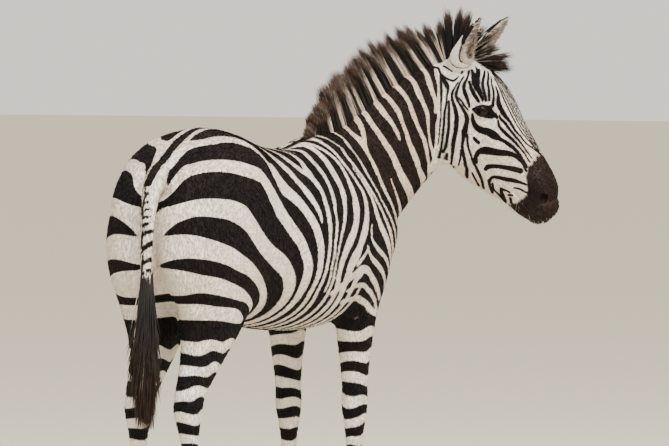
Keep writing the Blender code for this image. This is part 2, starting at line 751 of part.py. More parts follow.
def centre_on_origin():
    """Moves the model so that the middle of its box stands over the origin."""
    bpy.context.view_layer.update()
    graph = bpy.context.evaluated_depsgraph_get()
    corners = []
    for obj in PARTS.objects:
        mesh = obj.evaluated_get(graph).to_mesh()
        corners += [obj.matrix_world @ vert.co for vert in mesh.vertices]
    corners = np.array(corners)
    shift = -(corners.min(axis=0) + corners.max(axis=0)) / 2
    for obj in list(PARTS.objects) + list(CUTTERS.objects):
        obj.location = (shift[0], shift[1], 0.0)


clear_scene()
PARTS = new_collection(OBJECT)
CUTTERS = new_collection("Cutters", hidden=True)
flesh_mesh = build_flesh()
GROWN = clearance(flesh_mesh)
split_flesh(flesh_mesh)
build_eyes()
build_ears(GROWN)
build_hooves()
build_mane(GROWN)
build_tuft(GROWN)
centre_on_origin()
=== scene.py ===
# %% [markdown]
# # A plains zebra, life-size, head turned to the right
# This file dresses a solid model of a standing zebra the way a museum preparator would. The
# solids give the animal's size and pose. Over them go one continuous skin, eyes, hooves, a coat
# of short tufts, the upright mane, the tail's switch, lashes and whiskers.
#
# Everything is in metres. The solids stand in their own frame, with the soles at height 0.

# %% The frame
import math

import bmesh
import bpy
import numpy as np
import openvdb
from mathutils import Matrix, Vector


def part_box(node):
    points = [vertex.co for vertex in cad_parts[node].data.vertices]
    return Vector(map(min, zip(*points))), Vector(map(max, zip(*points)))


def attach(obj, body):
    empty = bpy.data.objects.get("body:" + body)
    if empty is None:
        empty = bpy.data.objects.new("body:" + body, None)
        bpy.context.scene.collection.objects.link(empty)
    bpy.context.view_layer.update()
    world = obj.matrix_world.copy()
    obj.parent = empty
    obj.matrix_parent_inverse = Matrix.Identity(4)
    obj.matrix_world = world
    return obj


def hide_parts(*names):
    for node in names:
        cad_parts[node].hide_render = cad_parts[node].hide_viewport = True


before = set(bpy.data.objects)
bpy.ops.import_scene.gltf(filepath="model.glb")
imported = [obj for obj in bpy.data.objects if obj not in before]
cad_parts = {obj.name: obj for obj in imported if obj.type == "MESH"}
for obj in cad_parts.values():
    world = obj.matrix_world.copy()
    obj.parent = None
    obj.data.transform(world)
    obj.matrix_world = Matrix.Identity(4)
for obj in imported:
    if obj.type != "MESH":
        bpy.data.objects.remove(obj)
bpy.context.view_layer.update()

# %% [markdown]
# ## The animal's form
# A body has no edges to draw from, so its form is a *field of distances*: a function that says
# how far any point is from the surface, negative inside. Stations along the trunk, neck, skull
# and legs give egg-shaped sections, muscles are ellipsoids, and a smooth union melts them
# together. The same numbers shaped the solids, so the skin made from them fits inside.
#
# X runs forward along the trunk, Y to the animal's left and Z up.

# %% Tools for distances
UP = np.array([0.0, 0.0, 1.0])
FAR = 9.0  # a distance that is never the nearest
MARGIN = 0.10  # how far round a form's box its distance is measured


def unit(vector):
    """The vector at length 1."""
    return np.asarray(vector, float) / np.linalg.norm(vector)


def smooth_rows(rows, count):
    """Catmull-Rom samples through a table of stations."""
    rows = np.asarray(rows, float)
    held = np.vstack([2 * rows[0] - rows[1], rows, 2 * rows[-1] - rows[-2]])
    at = np.linspace(0, len(rows) - 1, count)
    first = np.minimum(at.astype(int), len(rows) - 2)
    t = (at - first)[:, None]
    a, b, c, d = (held[first + k] for k in range(4))
    return b + 0.5 * t * (c - a + t * (2 * a - 5 * b + 4 * c - d + t * (3 * (b - c) + d - a)))


def blend(a, b, reach):
    """Union of two distances, filled in over the given reach where they meet."""
    near = np.clip(0.5 + 0.5 * (b - a) / reach, 0, 1)
    return b + (a - b) * near - reach * near * (1 - near)


def carve(a, b, reach):
    """The first distance with the second shape taken away, its edge rounded."""
    return -blend(-a, b, reach)


def add(found, points, form, low, high, reach):
    """Blends a form into the distances found, measuring it only round its own box."""
    inside = np.all((points > np.asarray(low) - MARGIN) & (points < np.asarray(high) + MARGIN), axis=1)
    found[inside] = blend(found[inside], form(points[inside]), reach)
    return found


def section(side, rise, width, up, down, pinch, over):
    """Distance to an egg-shaped section: narrower above than below where pinch is positive."""
    reach = np.where(rise > 0, up, down)
    width = width * (1 - pinch * np.clip(rise / reach, -1, 1))
    ends = np.minimum(width, reach)
    near = np.sqrt((side / width) ** 2 + (rise / reach) ** 2 + (over / ends) ** 2)
    slope = np.sqrt((side / width**2) ** 2 + (rise / reach**2) ** 2 + (over / ends**2) ** 2)
    return near * (near - 1) / np.maximum(slope, 1e-4)


# %% Bodies made of stations and masses
def straight(points, rows):
    """A body along its own first axis. Rows: along, top, widest height, bottom, half width, pinch."""
    dense = smooth_rows(rows, 160)
    along = np.clip(points[:, 0], dense[0, 0], dense[-1, 0])
    top, height, low, width, pinch = (np.interp(along, dense[:, 0], c) for c in dense.T[1:])
    over = points[:, 0] - along
    return section(points[:, 1], points[:, 2] - height, width, top - height, height - low, pinch, over)


def tube(points, rows, count, across=None):
    """A body along a bent line. Rows: x, y, z, half width, up, down, pinch."""
    dense = smooth_rows(rows, count)
    found = np.full(len(points), FAR)
    for a, b in zip(dense, dense[1:]):
        length = np.linalg.norm(b[:3] - a[:3])
        axis = (b[:3] - a[:3]) / length
        side = unit(np.cross(UP, axis)) if across is None else np.asarray(across, float)
        rise = unit(np.cross(axis, side))
        side = np.cross(rise, axis)
        offset = points - a[:3]
        along = offset @ axis
        t = np.clip(along / length, 0, 1)
        width, up, down, pinch = (a[k] + (b[k] - a[k]) * t for k in range(3, 7))
        d = section(offset @ side, offset @ rise, width, up, down, pinch, along - t * length)
        found = np.minimum(found, d)
    return found


def mass(points, centre, radii, pitch=0.0, yaw=0.0):
    """A muscle or bone end: an ellipsoid, nose-down by pitch and turned out by yaw, in degrees."""
    p, y = math.radians(pitch), math.radians(yaw)
    local = points - np.asarray(centre)
    x = local[:, 0] * math.cos(y) + local[:, 1] * math.sin(y)
    side = local[:, 1] * math.cos(y) - local[:, 0] * math.sin(y)
    ahead = x * math.cos(p) - local[:, 2] * math.sin(p)
    rise = x * math.sin(p) + local[:, 2] * math.cos(p)
    q = np.stack([ahead, side, rise], 1)
    radii = np.asarray(radii)
    near = np.sqrt(((q / radii) ** 2).sum(1))
    slope = np.sqrt(((q / radii**2) ** 2).sum(1))
    return near * (near - 1) / np.maximum(slope, 1e-4)


def folded(points):
    """The points with both sides laid on the left one."""
    return points * [1, 0, 1] + np.abs(points) * [0, 1, 0]


# %% [markdown]
# ## Trunk and neck
# The trunk is a row of egg-shaped sections, widest low down at the belly, with the croup,
# buttock, shoulder blade, point of shoulder, upper arm and breast melted on. The neck is a tube
# along a path that turns to the right, faster towards the poll, and rises as it goes.

# %% Trunk
# Trunk stations: x, topline, height of the widest place, underline, half width, pinch
TRUNK = [
    (-0.575, 1.085, 1.020, 0.950, 0.030, 0.00),
    (-0.555, 1.170, 1.025, 0.870, 0.085, 0.00),
    (-0.510, 1.222, 1.030, 0.800, 0.150, 0.00),
    (-0.420, 1.266, 1.050, 0.755, 0.192, 0.02),
    (-0.320, 1.285, 1.050, 0.728, 0.205, 0.05),
    (-0.200, 1.268, 1.010, 0.712, 0.220, 0.08),
    (-0.080, 1.238, 0.970, 0.694, 0.248, 0.08),
    (0.040, 1.220, 0.945, 0.680, 0.264, 0.08),
    (0.160, 1.214, 0.935, 0.672, 0.262, 0.12),
    (0.270, 1.224, 0.940, 0.674, 0.240, 0.20),
    (0.370, 1.240, 0.960, 0.692, 0.208, 0.28),
    (0.460, 1.236, 0.980, 0.725, 0.180, 0.28),
    (0.550, 1.180, 0.990, 0.785, 0.150, 0.15),
    (0.630, 1.085, 0.980, 0.860, 0.095, 0.00),
]
# Muscles that show on each side: centre, radii, pitch, yaw, blend
MUSCLES = [
    ((-0.350, 0.095, 1.090), (0.210, 0.122, 0.155), -6, 0, 0.06),  # croup
    ((-0.535, 0.078, 0.985), (0.108, 0.092, 0.190), 10, 0, 0.05),  # buttock
    ((0.410, 0.075, 1.080), (0.085, 0.075, 0.130), -20, 0, 0.06),  # shoulder blade
    ((0.500, 0.115, 0.975), (0.120, 0.075, 0.130), 30, 0, 0.05),  # point of shoulder
    ((0.400, 0.130, 0.870), (0.105, 0.070, 0.115), -30, 0, 0.05),  # triceps
    ((0.585, 0.070, 0.915), (0.072, 0.076, 0.105), 0, 0, 0.06),  # breast
]


def trunk_field(points):
    """Trunk with the muscles that show on it."""
    p = folded(points)
    d = straight(p, TRUNK)
    for centre, radii, pitch, yaw, reach in MUSCLES:
        d = blend(d, mass(p, centre, radii, pitch, yaw), reach)
    return d


# %% Neck
# Neck stations: forward along its path, height of the axis, half width, up, down, pinch
NECK_START = 0.36  # where the neck's path begins, on the trunk's line
NECK_TURN = -48.0  # degrees turned to the left by the poll
NECK = [
    (0.000, 1.000, 0.165, 0.215, 0.240, 0.34),
    (0.130, 1.055, 0.142, 0.196, 0.235, 0.38),
    (0.250, 1.115, 0.117, 0.178, 0.215, 0.38),
    (0.370, 1.183, 0.100, 0.162, 0.192, 0.34),
    (0.490, 1.258, 0.090, 0.148, 0.168, 0.28),
    (0.600, 1.325, 0.084, 0.136, 0.150, 0.20),
    (0.680, 1.372, 0.078, 0.108, 0.126, 0.10),
]


def neck_path(beyond, count):
    """The neck's path on the ground plan, to a length beyond the poll: lengths, x and y."""
    length = NECK[-1][0]
    steps = np.linspace(0, length + beyond, count)
    heading = math.radians(NECK_TURN) * np.minimum(steps / length, 1) ** 2
    x = NECK_START + np.concatenate([[0], np.cumsum(np.cos(heading[:-1]) * steps[1])])
    y = np.concatenate([[0], np.cumsum(np.sin(heading[:-1]) * steps[1])])
    return steps, x, y


def neck_rows():
    """The neck's stations placed along its path, which turns faster towards the poll."""
    steps, x, y = neck_path(0.0, 120)
    return [(np.interp(s, steps, x), np.interp(s, steps, y), *rest) for s, *rest in NECK]

WITHERS = 1.24
print("poll height above the withers:", round(float(neck_rows()[-1][2] - WITHERS), 3))

# %% [markdown]
# ## Head
# The head has a frame of its own: along from the poll to the nose, left, and up out of the
# forehead. Both sides are worked out at once by folding the left coordinate. Cheek, brow, cheek
# crest, nostril, upper lip and chin are masses on the skull's sections.

# %% Head
POLL = np.array([1.020, -0.216, 1.511])  # the head frame's origin, between the ears
HEAD_YAW, HEAD_PITCH = -81.0, 56.0  # degrees left of the trunk's line, and nose down
_yaw, _pitch = math.radians(HEAD_YAW), math.radians(HEAD_PITCH)
HEADING = np.array([math.cos(_yaw), math.sin(_yaw), 0.0])
HEAD_ALONG = HEADING * math.cos(_pitch) - UP * math.sin(_pitch)
HEAD_UP = HEADING * math.sin(_pitch) + UP * math.cos(_pitch)
HEAD_LEFT = np.cross(HEAD_UP, HEAD_ALONG)
HEAD_TURN = np.stack([HEAD_ALONG, HEAD_LEFT, HEAD_UP])  # rows: along, left, up


def to_head(points):
    """World points in the head's frame: from poll to nose, to the left, out of the forehead."""
    return (points - POLL) @ HEAD_TURN.T


def from_head(points):
    """The head frame's points in the world."""
    return np.asarray(points) @ HEAD_TURN + POLL


# Skull stations along the face: along, top, height of the widest place, bottom, half width, pinch
SKULL = [
    (0.015, -0.046, -0.110, -0.175, 0.044, 0.00),
    (0.030, -0.020, -0.100, -0.205, 0.074, 0.10),
    (0.090, 0.006, -0.082, -0.235, 0.084, -0.02),
    (0.150, 0.017, -0.072, -0.255, 0.088, -0.16),
    (0.205, 0.016, -0.072, -0.268, 0.086, -0.22),
    (0.270, 0.008, -0.083, -0.268, 0.070, -0.13),
    (0.335, 0.003, -0.089, -0.248, 0.060, -0.05),
    (0.400, -0.001, -0.089, -0.215, 0.054, 0.00),
    (0.455, -0.004, -0.087, -0.186, 0.053, 0.00),
    (0.500, -0.013, -0.089, -0.168, 0.051, 0.00),
    (0.532, -0.036, -0.095, -0.154, 0.042, 0.00),
]
# Masses on the skull: centre, radii, pitch and yaw in degrees, and how far each melts in
HEAD_MASSES = {
    "cheek": ((0.195, 0.050, -0.175), (0.112, 0.034, 0.100), 10, 0, 0.030),
    "brow": ((0.170, 0.070, -0.040), (0.052, 0.024, 0.024), 6, 0, 0.020),
    "cheek crest": ((0.270, 0.060, -0.098), (0.090, 0.014, 0.016), 4, -12, 0.022),
    "nostril": ((0.485, 0.038, -0.060), (0.040, 0.022, 0.036), 30, 0, 0.022),
    "upper lip": ((0.514, 0.000, -0.092), (0.038, 0.046, 0.046), 0, 0, 0.022),
    "chin": ((0.490, 0.000, -0.143), (0.044, 0.036, 0.025), -6, 0, 0.016),
}
EYE = np.array([0.193, 0.079, -0.067])  # the left eye's centre, in the head's frame
EYE_RADIUS = 0.0235


def head_field(points):
    """Skull, jaw, brow and muzzle, without the ears."""
    p = folded(to_head(points))
    d = straight(p, SKULL)
    for centre, radii, pitch, yaw, reach in HEAD_MASSES.values():
        d = blend(d, mass(p, centre, radii, pitch, yaw), reach)
    return d

print("muzzle to poll:", round(float(SKULL[-1][0] - SKULL[0][0]), 3))

# %% [markdown]
# An ear is a leaf-shaped cone, and its hollow is a second, smaller cone carved out of it so that
# it opens to the front and side.

# %% Ears
# The left ear in the head's frame: where it stands, where it points and where it opens
EAR_BASE = np.array([0.036, 0.063, -0.060])
EAR_AXIS = unit([-0.36, 0.43, 0.83])
# Both ears listen a little to the right: the left one opens inwards, and the right one ahead
EAR_FRONTS = [unit(np.cross(np.cross(EAR_AXIS, [0.62, out, 0.60]), EAR_AXIS)) for out in (-0.10, 0.16)]
# Along the ear: half width and half depth
EAR = [
    (-0.040, 0.031, 0.030),
    (0.000, 0.038, 0.037),
    (0.035, 0.044, 0.038),
    (0.070, 0.046, 0.034),
    (0.105, 0.042, 0.028),
    (0.140, 0.034, 0.021),
    (0.168, 0.023, 0.014),
    (0.188, 0.010, 0.008),
]
# Along its hollow: how far forward it lies, half width and half depth
EAR_HOLLOW = [
    (0.030, 0.010, 0.018, 0.014),
    (0.060, 0.016, 0.034, 0.026),
    (0.095, 0.017, 0.037, 0.028),
    (0.130, 0.015, 0.030, 0.023),
    (0.162, 0.013, 0.018, 0.016),
    (0.186, 0.013, 0.005, 0.006),
]


def ear_place(points):
    """Points seen from their own ear: along it from base to tip, across it, and out of its hollow."""
    local = to_head(points)
    left = local[:, 1] > 0
    local = folded(local) - EAR_BASE
    side, rise = (
        np.where(left, local @ one, local @ other)
        for one, other in (np.cross(EAR_FRONTS, EAR_AXIS), EAR_FRONTS)
    )
    return local @ EAR_AXIS, side, rise


def ear_shapes(points):
    """Distances to the ears' outer cones and to their hollows."""
    along, side, rise = ear_place(points)
    found = []
    for rows in (EAR, EAR_HOLLOW):
        dense = smooth_rows(rows, 60)
        height = np.clip(along, dense[0, 0], dense[-1, 0])
        *shift, width, depth = (np.interp(height, dense[:, 0], c) for c in dense.T[1:])
        lift = rise - (shift[0] if shift else 0)
        found.append(section(side, lift, width, depth, depth, 0.0, along - height))
    return found


def ear_field(points):
    """Both ears: leaf-shaped cones with a hollow that opens to the front."""
    return carve(*ear_shapes(points), 0.004)


# %% [markdown]
# ## Legs and tail
# Each leg is a stack of level sections between a back edge and a front edge, which is how the
# joints show from the side: stifle, hock, knee, cannon, fetlock and pastern.

# %% Legs
# Leg stations: height, back edge, front edge, half width, distance from the middle
HIND = [
    (1.060, -0.575, -0.230, 0.092, 0.098),
    (0.960, -0.610, -0.215, 0.098, 0.102),
    (0.860, -0.612, -0.220, 0.092, 0.100),
    (0.770, -0.590, -0.240, 0.080, 0.095),
    (0.700, -0.568, -0.288, 0.068, 0.090),
    (0.640, -0.565, -0.348, 0.057, 0.087),
    (0.580, -0.579, -0.412, 0.048, 0.086),
    (0.520, -0.601, -0.474, 0.042, 0.086),
    (0.470, -0.603, -0.500, 0.041, 0.087),
    (0.420, -0.585, -0.515, 0.034, 0.090),
    (0.350, -0.572, -0.520, 0.025, 0.095),
    (0.250, -0.568, -0.515, 0.023, 0.101),
    (0.180, -0.568, -0.506, 0.026, 0.105),
    (0.135, -0.564, -0.488, 0.031, 0.107),
    (0.095, -0.538, -0.470, 0.028, 0.109),
    (0.055, -0.525, -0.440, 0.036, 0.111),
    (0.030, -0.520, -0.430, 0.038, 0.112),
]
FORE = [
    (0.960, 0.320, 0.560, 0.070, 0.112),
    (0.860, 0.320, 0.565, 0.076, 0.115),
    (0.780, 0.336, 0.538, 0.070, 0.116),
    (0.700, 0.354, 0.510, 0.060, 0.116),
    (0.600, 0.372, 0.488, 0.049, 0.116),
    (0.510, 0.384, 0.480, 0.040, 0.116),
    (0.440, 0.386, 0.480, 0.040, 0.116),
    (0.390, 0.396, 0.470, 0.034, 0.116),
    (0.320, 0.402, 0.462, 0.025, 0.116),
    (0.230, 0.402, 0.460, 0.023, 0.116),
    (0.170, 0.402, 0.464, 0.026, 0.117),
    (0.130, 0.404, 0.476, 0.031, 0.117),
    (0.095, 0.424, 0.490, 0.028, 0.118),
    (0.055, 0.440, 0.522, 0.036, 0.119),
    (0.030, 0.444, 0.532, 0.038, 0.120),
]
# Each leg: stations, side, how far ahead its foot stands
LEGS = {
    "foreleg_left": (FORE, 1, 0.020),
    "foreleg_right": (FORE, -1, -0.020),
    "hindleg_left": (HIND, 1, 0.030),
    "hindleg_right": (HIND, -1, -0.030),
}
ELBOW = 0.80  # the legs swing from about this height


def leg_line(name, heights):
    """A leg at each height: back edge, front edge, half width and middle plane."""
    stations, side, stride = LEGS[name]
    dense = smooth_rows(stations, 120)[::-1]
    back, front, width, out = (np.interp(heights, dense[:, 0], c) for c in dense.T[1:])
    shift = stride * np.clip((ELBOW - heights) / ELBOW, 0, 1)
    return back + shift, front + shift, width, side * out


def leg_field(points, name):
    """One leg, from its stations: level sections between a back and a front edge."""
    stations = LEGS[name][0]
    height = np.clip(points[:, 2], stations[-1][0], stations[0][0])
    back, front, width, y = leg_line(name, height)
    half = (front - back) / 2
    over = points[:, 2] - height
    return section(points[:, 1] - y, points[:, 0] - (back + front) / 2, width, half, half, 0.0, over)


# %% Tail and the whole body
TAIL = [
    (-0.500, 0.000, 1.165, 0.060, 0.050, 0.050, 0.0),
    (-0.578, -0.003, 1.148, 0.040, 0.036, 0.036, 0.0),
    (-0.632, -0.008, 1.108, 0.031, 0.027, 0.027, 0.0),
    (-0.664, -0.012, 1.035, 0.025, 0.022, 0.022, 0.0),
    (-0.673, -0.012, 0.930, 0.021, 0.019, 0.019, 0.0),
    (-0.678, -0.012, 0.830, 0.017, 0.016, 0.016, 0.0),
]


def tail_field(points):
    """The tail's dock."""
    return tube(points, TAIL, 12, (0, 1, 0))


def body_field(points):
    """The whole animal but its mane, ears and hooves."""
    d = np.full(len(points), FAR)
    d = add(d, points, trunk_field, (-0.70, -0.30, 0.60), (0.70, 0.30, 1.32), 0.01)
    neck = neck_rows()
    d = add(d, points, lambda p: tube(p, neck, 14), (0.20, -0.40, 0.70), (1.10, 0.20, 1.60), 0.07)
    d = add(d, points, head_field, (0.80, -0.70, 0.85), (1.25, 0.15, 1.60), 0.03)
    for name in LEGS:
        side, y = LEGS[name][1], 0.11
        low = (-0.70 if "hind" in name else 0.25, side * y - 0.14, 0.0)
        high = (-0.15 if "hind" in name else 0.60, side * y + 0.14, 1.10)
        d = add(d, points, lambda p: leg_field(p, name), low, high, 0.05)
    return add(d, points, tail_field, (-0.75, -0.06, 0.80), (-0.50, 0.06, 1.22), 0.02)


print("legs:", ", ".join(LEGS))

# %% [markdown]
# ## The frame's place
# The stations above are measured from the middle of the trunk, but the solids were moved so that
# their box stands over the origin. The two eyes say by how much: the middle between their boxes
# is a known point of the head.

# %% Where the solids stand
EYE_BOXES = [np.array(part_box(name)) for name in ("eye_left", "eye_right")]
SHIFT = np.mean(EYE_BOXES, axis=(0, 1)) - from_head(EYE * [1, 0, 1])
SHIFT[2] = 0.0
print("solids moved by:", SHIFT.round(4))

# %% [markdown]
# ## Lids, nostrils and mouth
# The skin needs what the solids leave out. The lids are a slightly larger ball laid over the eye
# with an almond carved out of it, the nostril is a comma-shaped hole under a raised wing, and the
# mouth is a fold pressed in along the lips. The lid almond is where two circles overlap.

# %% Lids
LID = 0.0042  # thickness of the lids
FISSURE = (0.0205, 0.0118)  # half length and half height of the opening
EYE_OUT = unit([0.16, 1.0, 0.06])  # where the left eye looks, in the head's frame
EYE_FORE = unit(np.cross(np.cross(EYE_OUT, [0.80, 0.0, 0.60]), EYE_OUT))
EYE_TOP = np.cross(EYE_OUT, EYE_FORE) * np.sign(np.cross(EYE_OUT, EYE_FORE)[2])


def eye_place(points):
    """Folded head points seen from the eye: forward along the opening, up across it, outward."""
    local = points - EYE
    return local @ EYE_FORE, local @ EYE_TOP, local @ EYE_OUT


def almond(ahead, rise):
    """Distance to the opening's outline, from inside it."""
    half, height = FISSURE
    radius = (half**2 + height**2) / (2 * height)
    offset = radius - height
    return np.maximum(np.hypot(ahead, rise + offset), np.hypot(ahead, rise - offset)) - radius


def with_lids(found, points):
    """Lids round the eye, with the opening and the fold over the upper lid."""
    ahead, rise, out = eye_place(points)
    ball = np.linalg.norm(points - EYE, axis=1)
    found = blend(found, ball - EYE_RADIUS - LID, 0.012)
    outline = almond(ahead, rise)
    found = carve(found, np.maximum(outline, 0.002 - out), 0.0022)
    fold = np.exp(-(((outline - 0.0085) / 0.0022) ** 2)) * np.clip(rise / 0.006, 0, 1)
    below = np.exp(-(((outline - 0.0075) / 0.0025) ** 2)) * np.clip(-rise / 0.008, 0, 1)
    return found + np.where(out > 0.004, 0.0016 * fold + 0.0008 * below, 0)


# %% Nostrils and mouth
NOSTRIL = ((0.510, 0.041, -0.060), (0.021, 0.0105, 0.0085))
MOUTH = [(0.440, -0.1335), (0.470, -0.1290), (0.505, -0.1245), (0.560, -0.1190)]  # along, height


def with_nose(found, points):
    """A raised wing round each nostril, the nostril, and the line of the mouth."""
    centre, radii = NOSTRIL
    wing = mass(points, (0.500, 0.036, -0.058), (0.030, 0.016, 0.018), pitch=26, yaw=10)
    found = blend(found, wing, 0.012)
    found = carve(found, mass(points, centre, radii, pitch=34, yaw=18), 0.004)
    corner, lips = np.array(MOUTH).T
    height = np.interp(points[:, 0], corner, lips)
    press = np.clip((points[:, 0] - corner[0]) / 0.02, 0, 1)
    line = np.exp(-(((points[:, 2] - height) / 0.0028) ** 2)) * press
    lip = np.exp(-(((points[:, 2] - height - 0.011) / 0.007) ** 2)) * press
    return found + 0.0045 * line - 0.0012 * lip


SKIN_ENDS = 0.020  # the skin's legs stop inside the hooves, at this height


def skin_field(points):
    """The whole animal with its ears and its face's detail."""
    found = body_field(points)
    local = folded(to_head(points))
    near = np.linalg.norm(local - [0.06, 0.07, 0.02], axis=1) < 0.26
    found[near] = blend(found[near], ear_field(points[near]), 0.012)
    near = np.linalg.norm(local - EYE, axis=1) < 0.06
    found[near] = with_lids(found[near], local[near])
    near = np.linalg.norm(local - [0.50, 0.02, -0.10], axis=1) < 0.11
    found[near] = with_nose(found[near], local[near])
    return np.maximum(found, SKIN_ENDS - points[:, 2])


print("openings: lids", FISSURE, "nostril", NOSTRIL[1])

# %% [markdown]
# ## Skin
# One closed skin covers everything but the eyes, hooves and long hair. The field is measured on a
# grid, and OpenVDB walks its level surface in quads. The grid is bent: its cells shrink from the
# shoulder to the head, so the face gets cells near 4 mm and the trunk's stay near 11 mm, and one
# mesh serves both. Round the lids and lips the quads are halved once more and slid back onto the
# surface. The skin lies 4 mm inside the solids, which is the depth of the coat.

# %% Grid of the skin
COAT_DEPTH = 0.004
SKIN_CELL = 0.0107
FINE_FROM, FINE_RUN, FINEST = 0.52, 0.52, 0.40  # where cells start to shrink, over what, to what
HEAD_AXIS = (-0.33, 1.27)  # sideways place and height that the grid narrows towards


def bent(points):
    """Grid points in the world: from the shoulder on, everything draws in towards the head."""
    t = np.clip((points[:, 0] - FINE_FROM) / FINE_RUN, 0, 1)
    scale = 1 - (1 - FINEST) * t * t * (3 - 2 * t)
    lost = (1 - FINEST) * FINE_RUN * (t**3 - t**4 / 2)
    past = np.clip(points[:, 0] - FINE_FROM - FINE_RUN, 0, None)
    x = points[:, 0] - lost - (1 - FINEST) * past
    y = HEAD_AXIS[0] + scale * (points[:, 1] - HEAD_AXIS[0])
    z = HEAD_AXIS[1] + scale * (points[:, 2] - HEAD_AXIS[1])
    return np.stack([x, y, z], 1)


def level_mesh(field, low, high, cell, level=0.0, coarse=4, real=lambda q: q):
    """Quads of the surface where the field is level. Only cells near it are measured finely."""
    low = np.asarray(low, float)
    blocks = np.ceil((np.asarray(high) - low) / (cell * coarse)).astype(int) + 1
    corner = np.stack(np.meshgrid(*(np.arange(n) for n in blocks), indexing="ij"), -1).reshape(-1, 3)
    middle = low + (corner + 0.5) * cell * coarse
    rough = field(real(middle)) - level
    grid = np.repeat(np.repeat(np.repeat(rough.reshape(blocks), coarse, 0), coarse, 1), coarse, 2)
    grid = grid.astype(np.float32)
    near = corner[np.abs(rough) < cell * coarse * 1.6 + 0.02]
    steps = np.stack(np.meshgrid(*(np.arange(coarse),) * 3, indexing="ij"), -1).reshape(-1, 3)
    fine = (near[:, None, :] * coarse + steps).reshape(-1, 3)
    grid[tuple(fine.T)] = field(real(low + fine * cell)) - level
    volume = openvdb.FloatGrid(1.0)
    volume.copyFromArray(np.clip(grid, -1, 1))
    points, quads = volume.convertToQuads(0.0)
    return real(low + points * cell), quads


def slope(points, step=0.0015):
    """The direction out of the surface at each point, from six measurements."""
    axes = np.eye(3) * step
    found = np.stack([skin_field(points + a) - skin_field(points - a) for a in axes], 1)
    return found / np.maximum(np.linalg.norm(found, axis=1, keepdims=True), 1e-9)


skin_points, skin_quads = level_mesh(
    skin_field, (-0.85, -0.80, -0.02), (1.78, 0.60, 2.20), SKIN_CELL, -COAT_DEPTH, real=bent
)
print("skin grid:", len(skin_points), "points,", len(skin_quads), "quads")

# %% Halve the quads round the lids and lips
FINE_SPOTS = [  # in the folded head frame: centre, radius
    (EYE, 0.034),
    (np.array([0.505, 0.030, -0.065]), 0.042),
    (np.array([0.500, 0.020, -0.125]), 0.062),
]


def object_from(name, points, faces):
    """An object whose mesh has these points and faces, each facing outwards."""
    mesh = bpy.data.meshes.new(name)
    mesh.from_pydata(np.asarray(points).tolist(), [], np.asarray(faces).tolist())
    work = bmesh.new()
    work.from_mesh(mesh)
    bmesh.ops.recalc_face_normals(work, faces=work.faces)
    work.to_mesh(mesh)
    work.free()
    mesh.shade_smooth()
    obj = bpy.data.objects.new(name, mesh)
    bpy.context.scene.collection.objects.link(obj)
    return obj


def near_spots(points):
    """Which points lie round the lids and lips."""
    local = folded(to_head(points))
    found = [np.linalg.norm(local - centre, axis=1) < radius for centre, radius in FINE_SPOTS]
    return np.any(found, axis=0)


def coordinates(mesh):
    """A mesh's points as an array."""
    found = np.empty(len(mesh.vertices) * 3, np.float32)
    mesh.vertices.foreach_get("co", found)
    return found.reshape(-1, 3).astype(float)


skin = object_from("skin", skin_points, skin_quads)
work = bmesh.new()
work.from_mesh(skin.data)
fine = near_spots(coordinates(skin.data))
edges = [edge for edge in work.edges if all(fine[vert.index] for vert in edge.verts)]
bmesh.ops.subdivide_edges(work, edges=edges, cuts=1, use_grid_fill=True)
bmesh.ops.triangulate(work, faces=work.faces)
work.to_mesh(skin.data)
work.free()
skin_points = coordinates(skin.data)
fine = near_spots(skin_points)
for _ in range(4):
    reach = skin_field(skin_points[fine]) + COAT_DEPTH
    skin_points[fine] -= slope(skin_points[fine]) * np.clip(reach, -0.002, 0.002)[:, None]
SKIN_OUT = slope(skin_points)
skin.data.vertices.foreach_set("co", (skin_points + SHIFT).ravel().astype(np.float32))
skin.data.update()
skin.data.shade_smooth()
print("skin:", len(skin.data.vertices), "points,", len(skin.data.polygons), "triangles")

# %% [markdown]
# ## Charts for the stripes
# A stripe is a ribbon drawn on the hide, so each part of the body is rolled out flat first, as a
# taxidermist's pattern is. The side's chart gives a point's length forward, following the neck's
# bend and the roundness of the rump, and its height, following the roundness of the back. The
# head's chart is the distance from the poll towards the nose, and the height above the middle of
# the face, rolled over the forehead. Both sides use one chart; the left one is shifted a little,
# because no zebra's two sides are alike.

# %% The side's chart
RUMP_X, RUMP_R = -0.43, 0.20  # where the side rounds into the rump, and its radius
BACK_Z, BACK_R = 1.06, 0.22  # where the side rounds into the back, and its radius
SIDE_SHIFT = 0.009  # how far the left side's stripes wander from the right one's
CHART_PATH = neck_path(0.15, 60)


def neck_place(points):
    """How far along the neck's path each point is."""
    x, y = points[:, 0], points[:, 1]
    steps, px, py = CHART_PATH
    near = np.full(len(points), FAR)
    along = np.zeros(len(points))
    for k in range(len(steps) - 1):
        dx, dy = px[k + 1] - px[k], py[k + 1] - py[k]
        span = dx * dx + dy * dy
        t = np.clip(((x - px[k]) * dx + (y - py[k]) * dy) / span, 0, 1)
        d = np.hypot(x - px[k] - t * dx, y - py[k] - t * dy)
        better = d < near
        near[better] = d[better]
        along[better] = steps[k] + t[better] * steps[1]
    return NECK_START + along


def side_chart(points):
    """The side of the body rolled flat: length forward from the trunk's middle, and height."""
    x, y, z = points.T
    out = np.abs(y)
    rump = np.arctan2(out, RUMP_X - x)
    ahead = np.where(x < RUMP_X, RUMP_X + RUMP_R * (rump - math.pi / 2), x)
    front = x > NECK_START
    ahead[front] = neck_place(points[front])
    rise = np.where(z > BACK_Z, BACK_Z + BACK_R * np.arctan2(z - BACK_Z, out), z)
    flat = np.clip((ahead - 0.20) / 0.22, 0, 1)
    rise = rise + (z - rise) * flat * flat * (3 - 2 * flat)
    left = np.clip(y / 0.05, 0, 1)
    ahead = ahead + SIDE_SHIFT * left * np.sin(9 * x + 14 * z)
    rise = rise + SIDE_SHIFT * left * np.cos(11 * x - 7 * z)
    return np.stack([ahead, rise], 1)


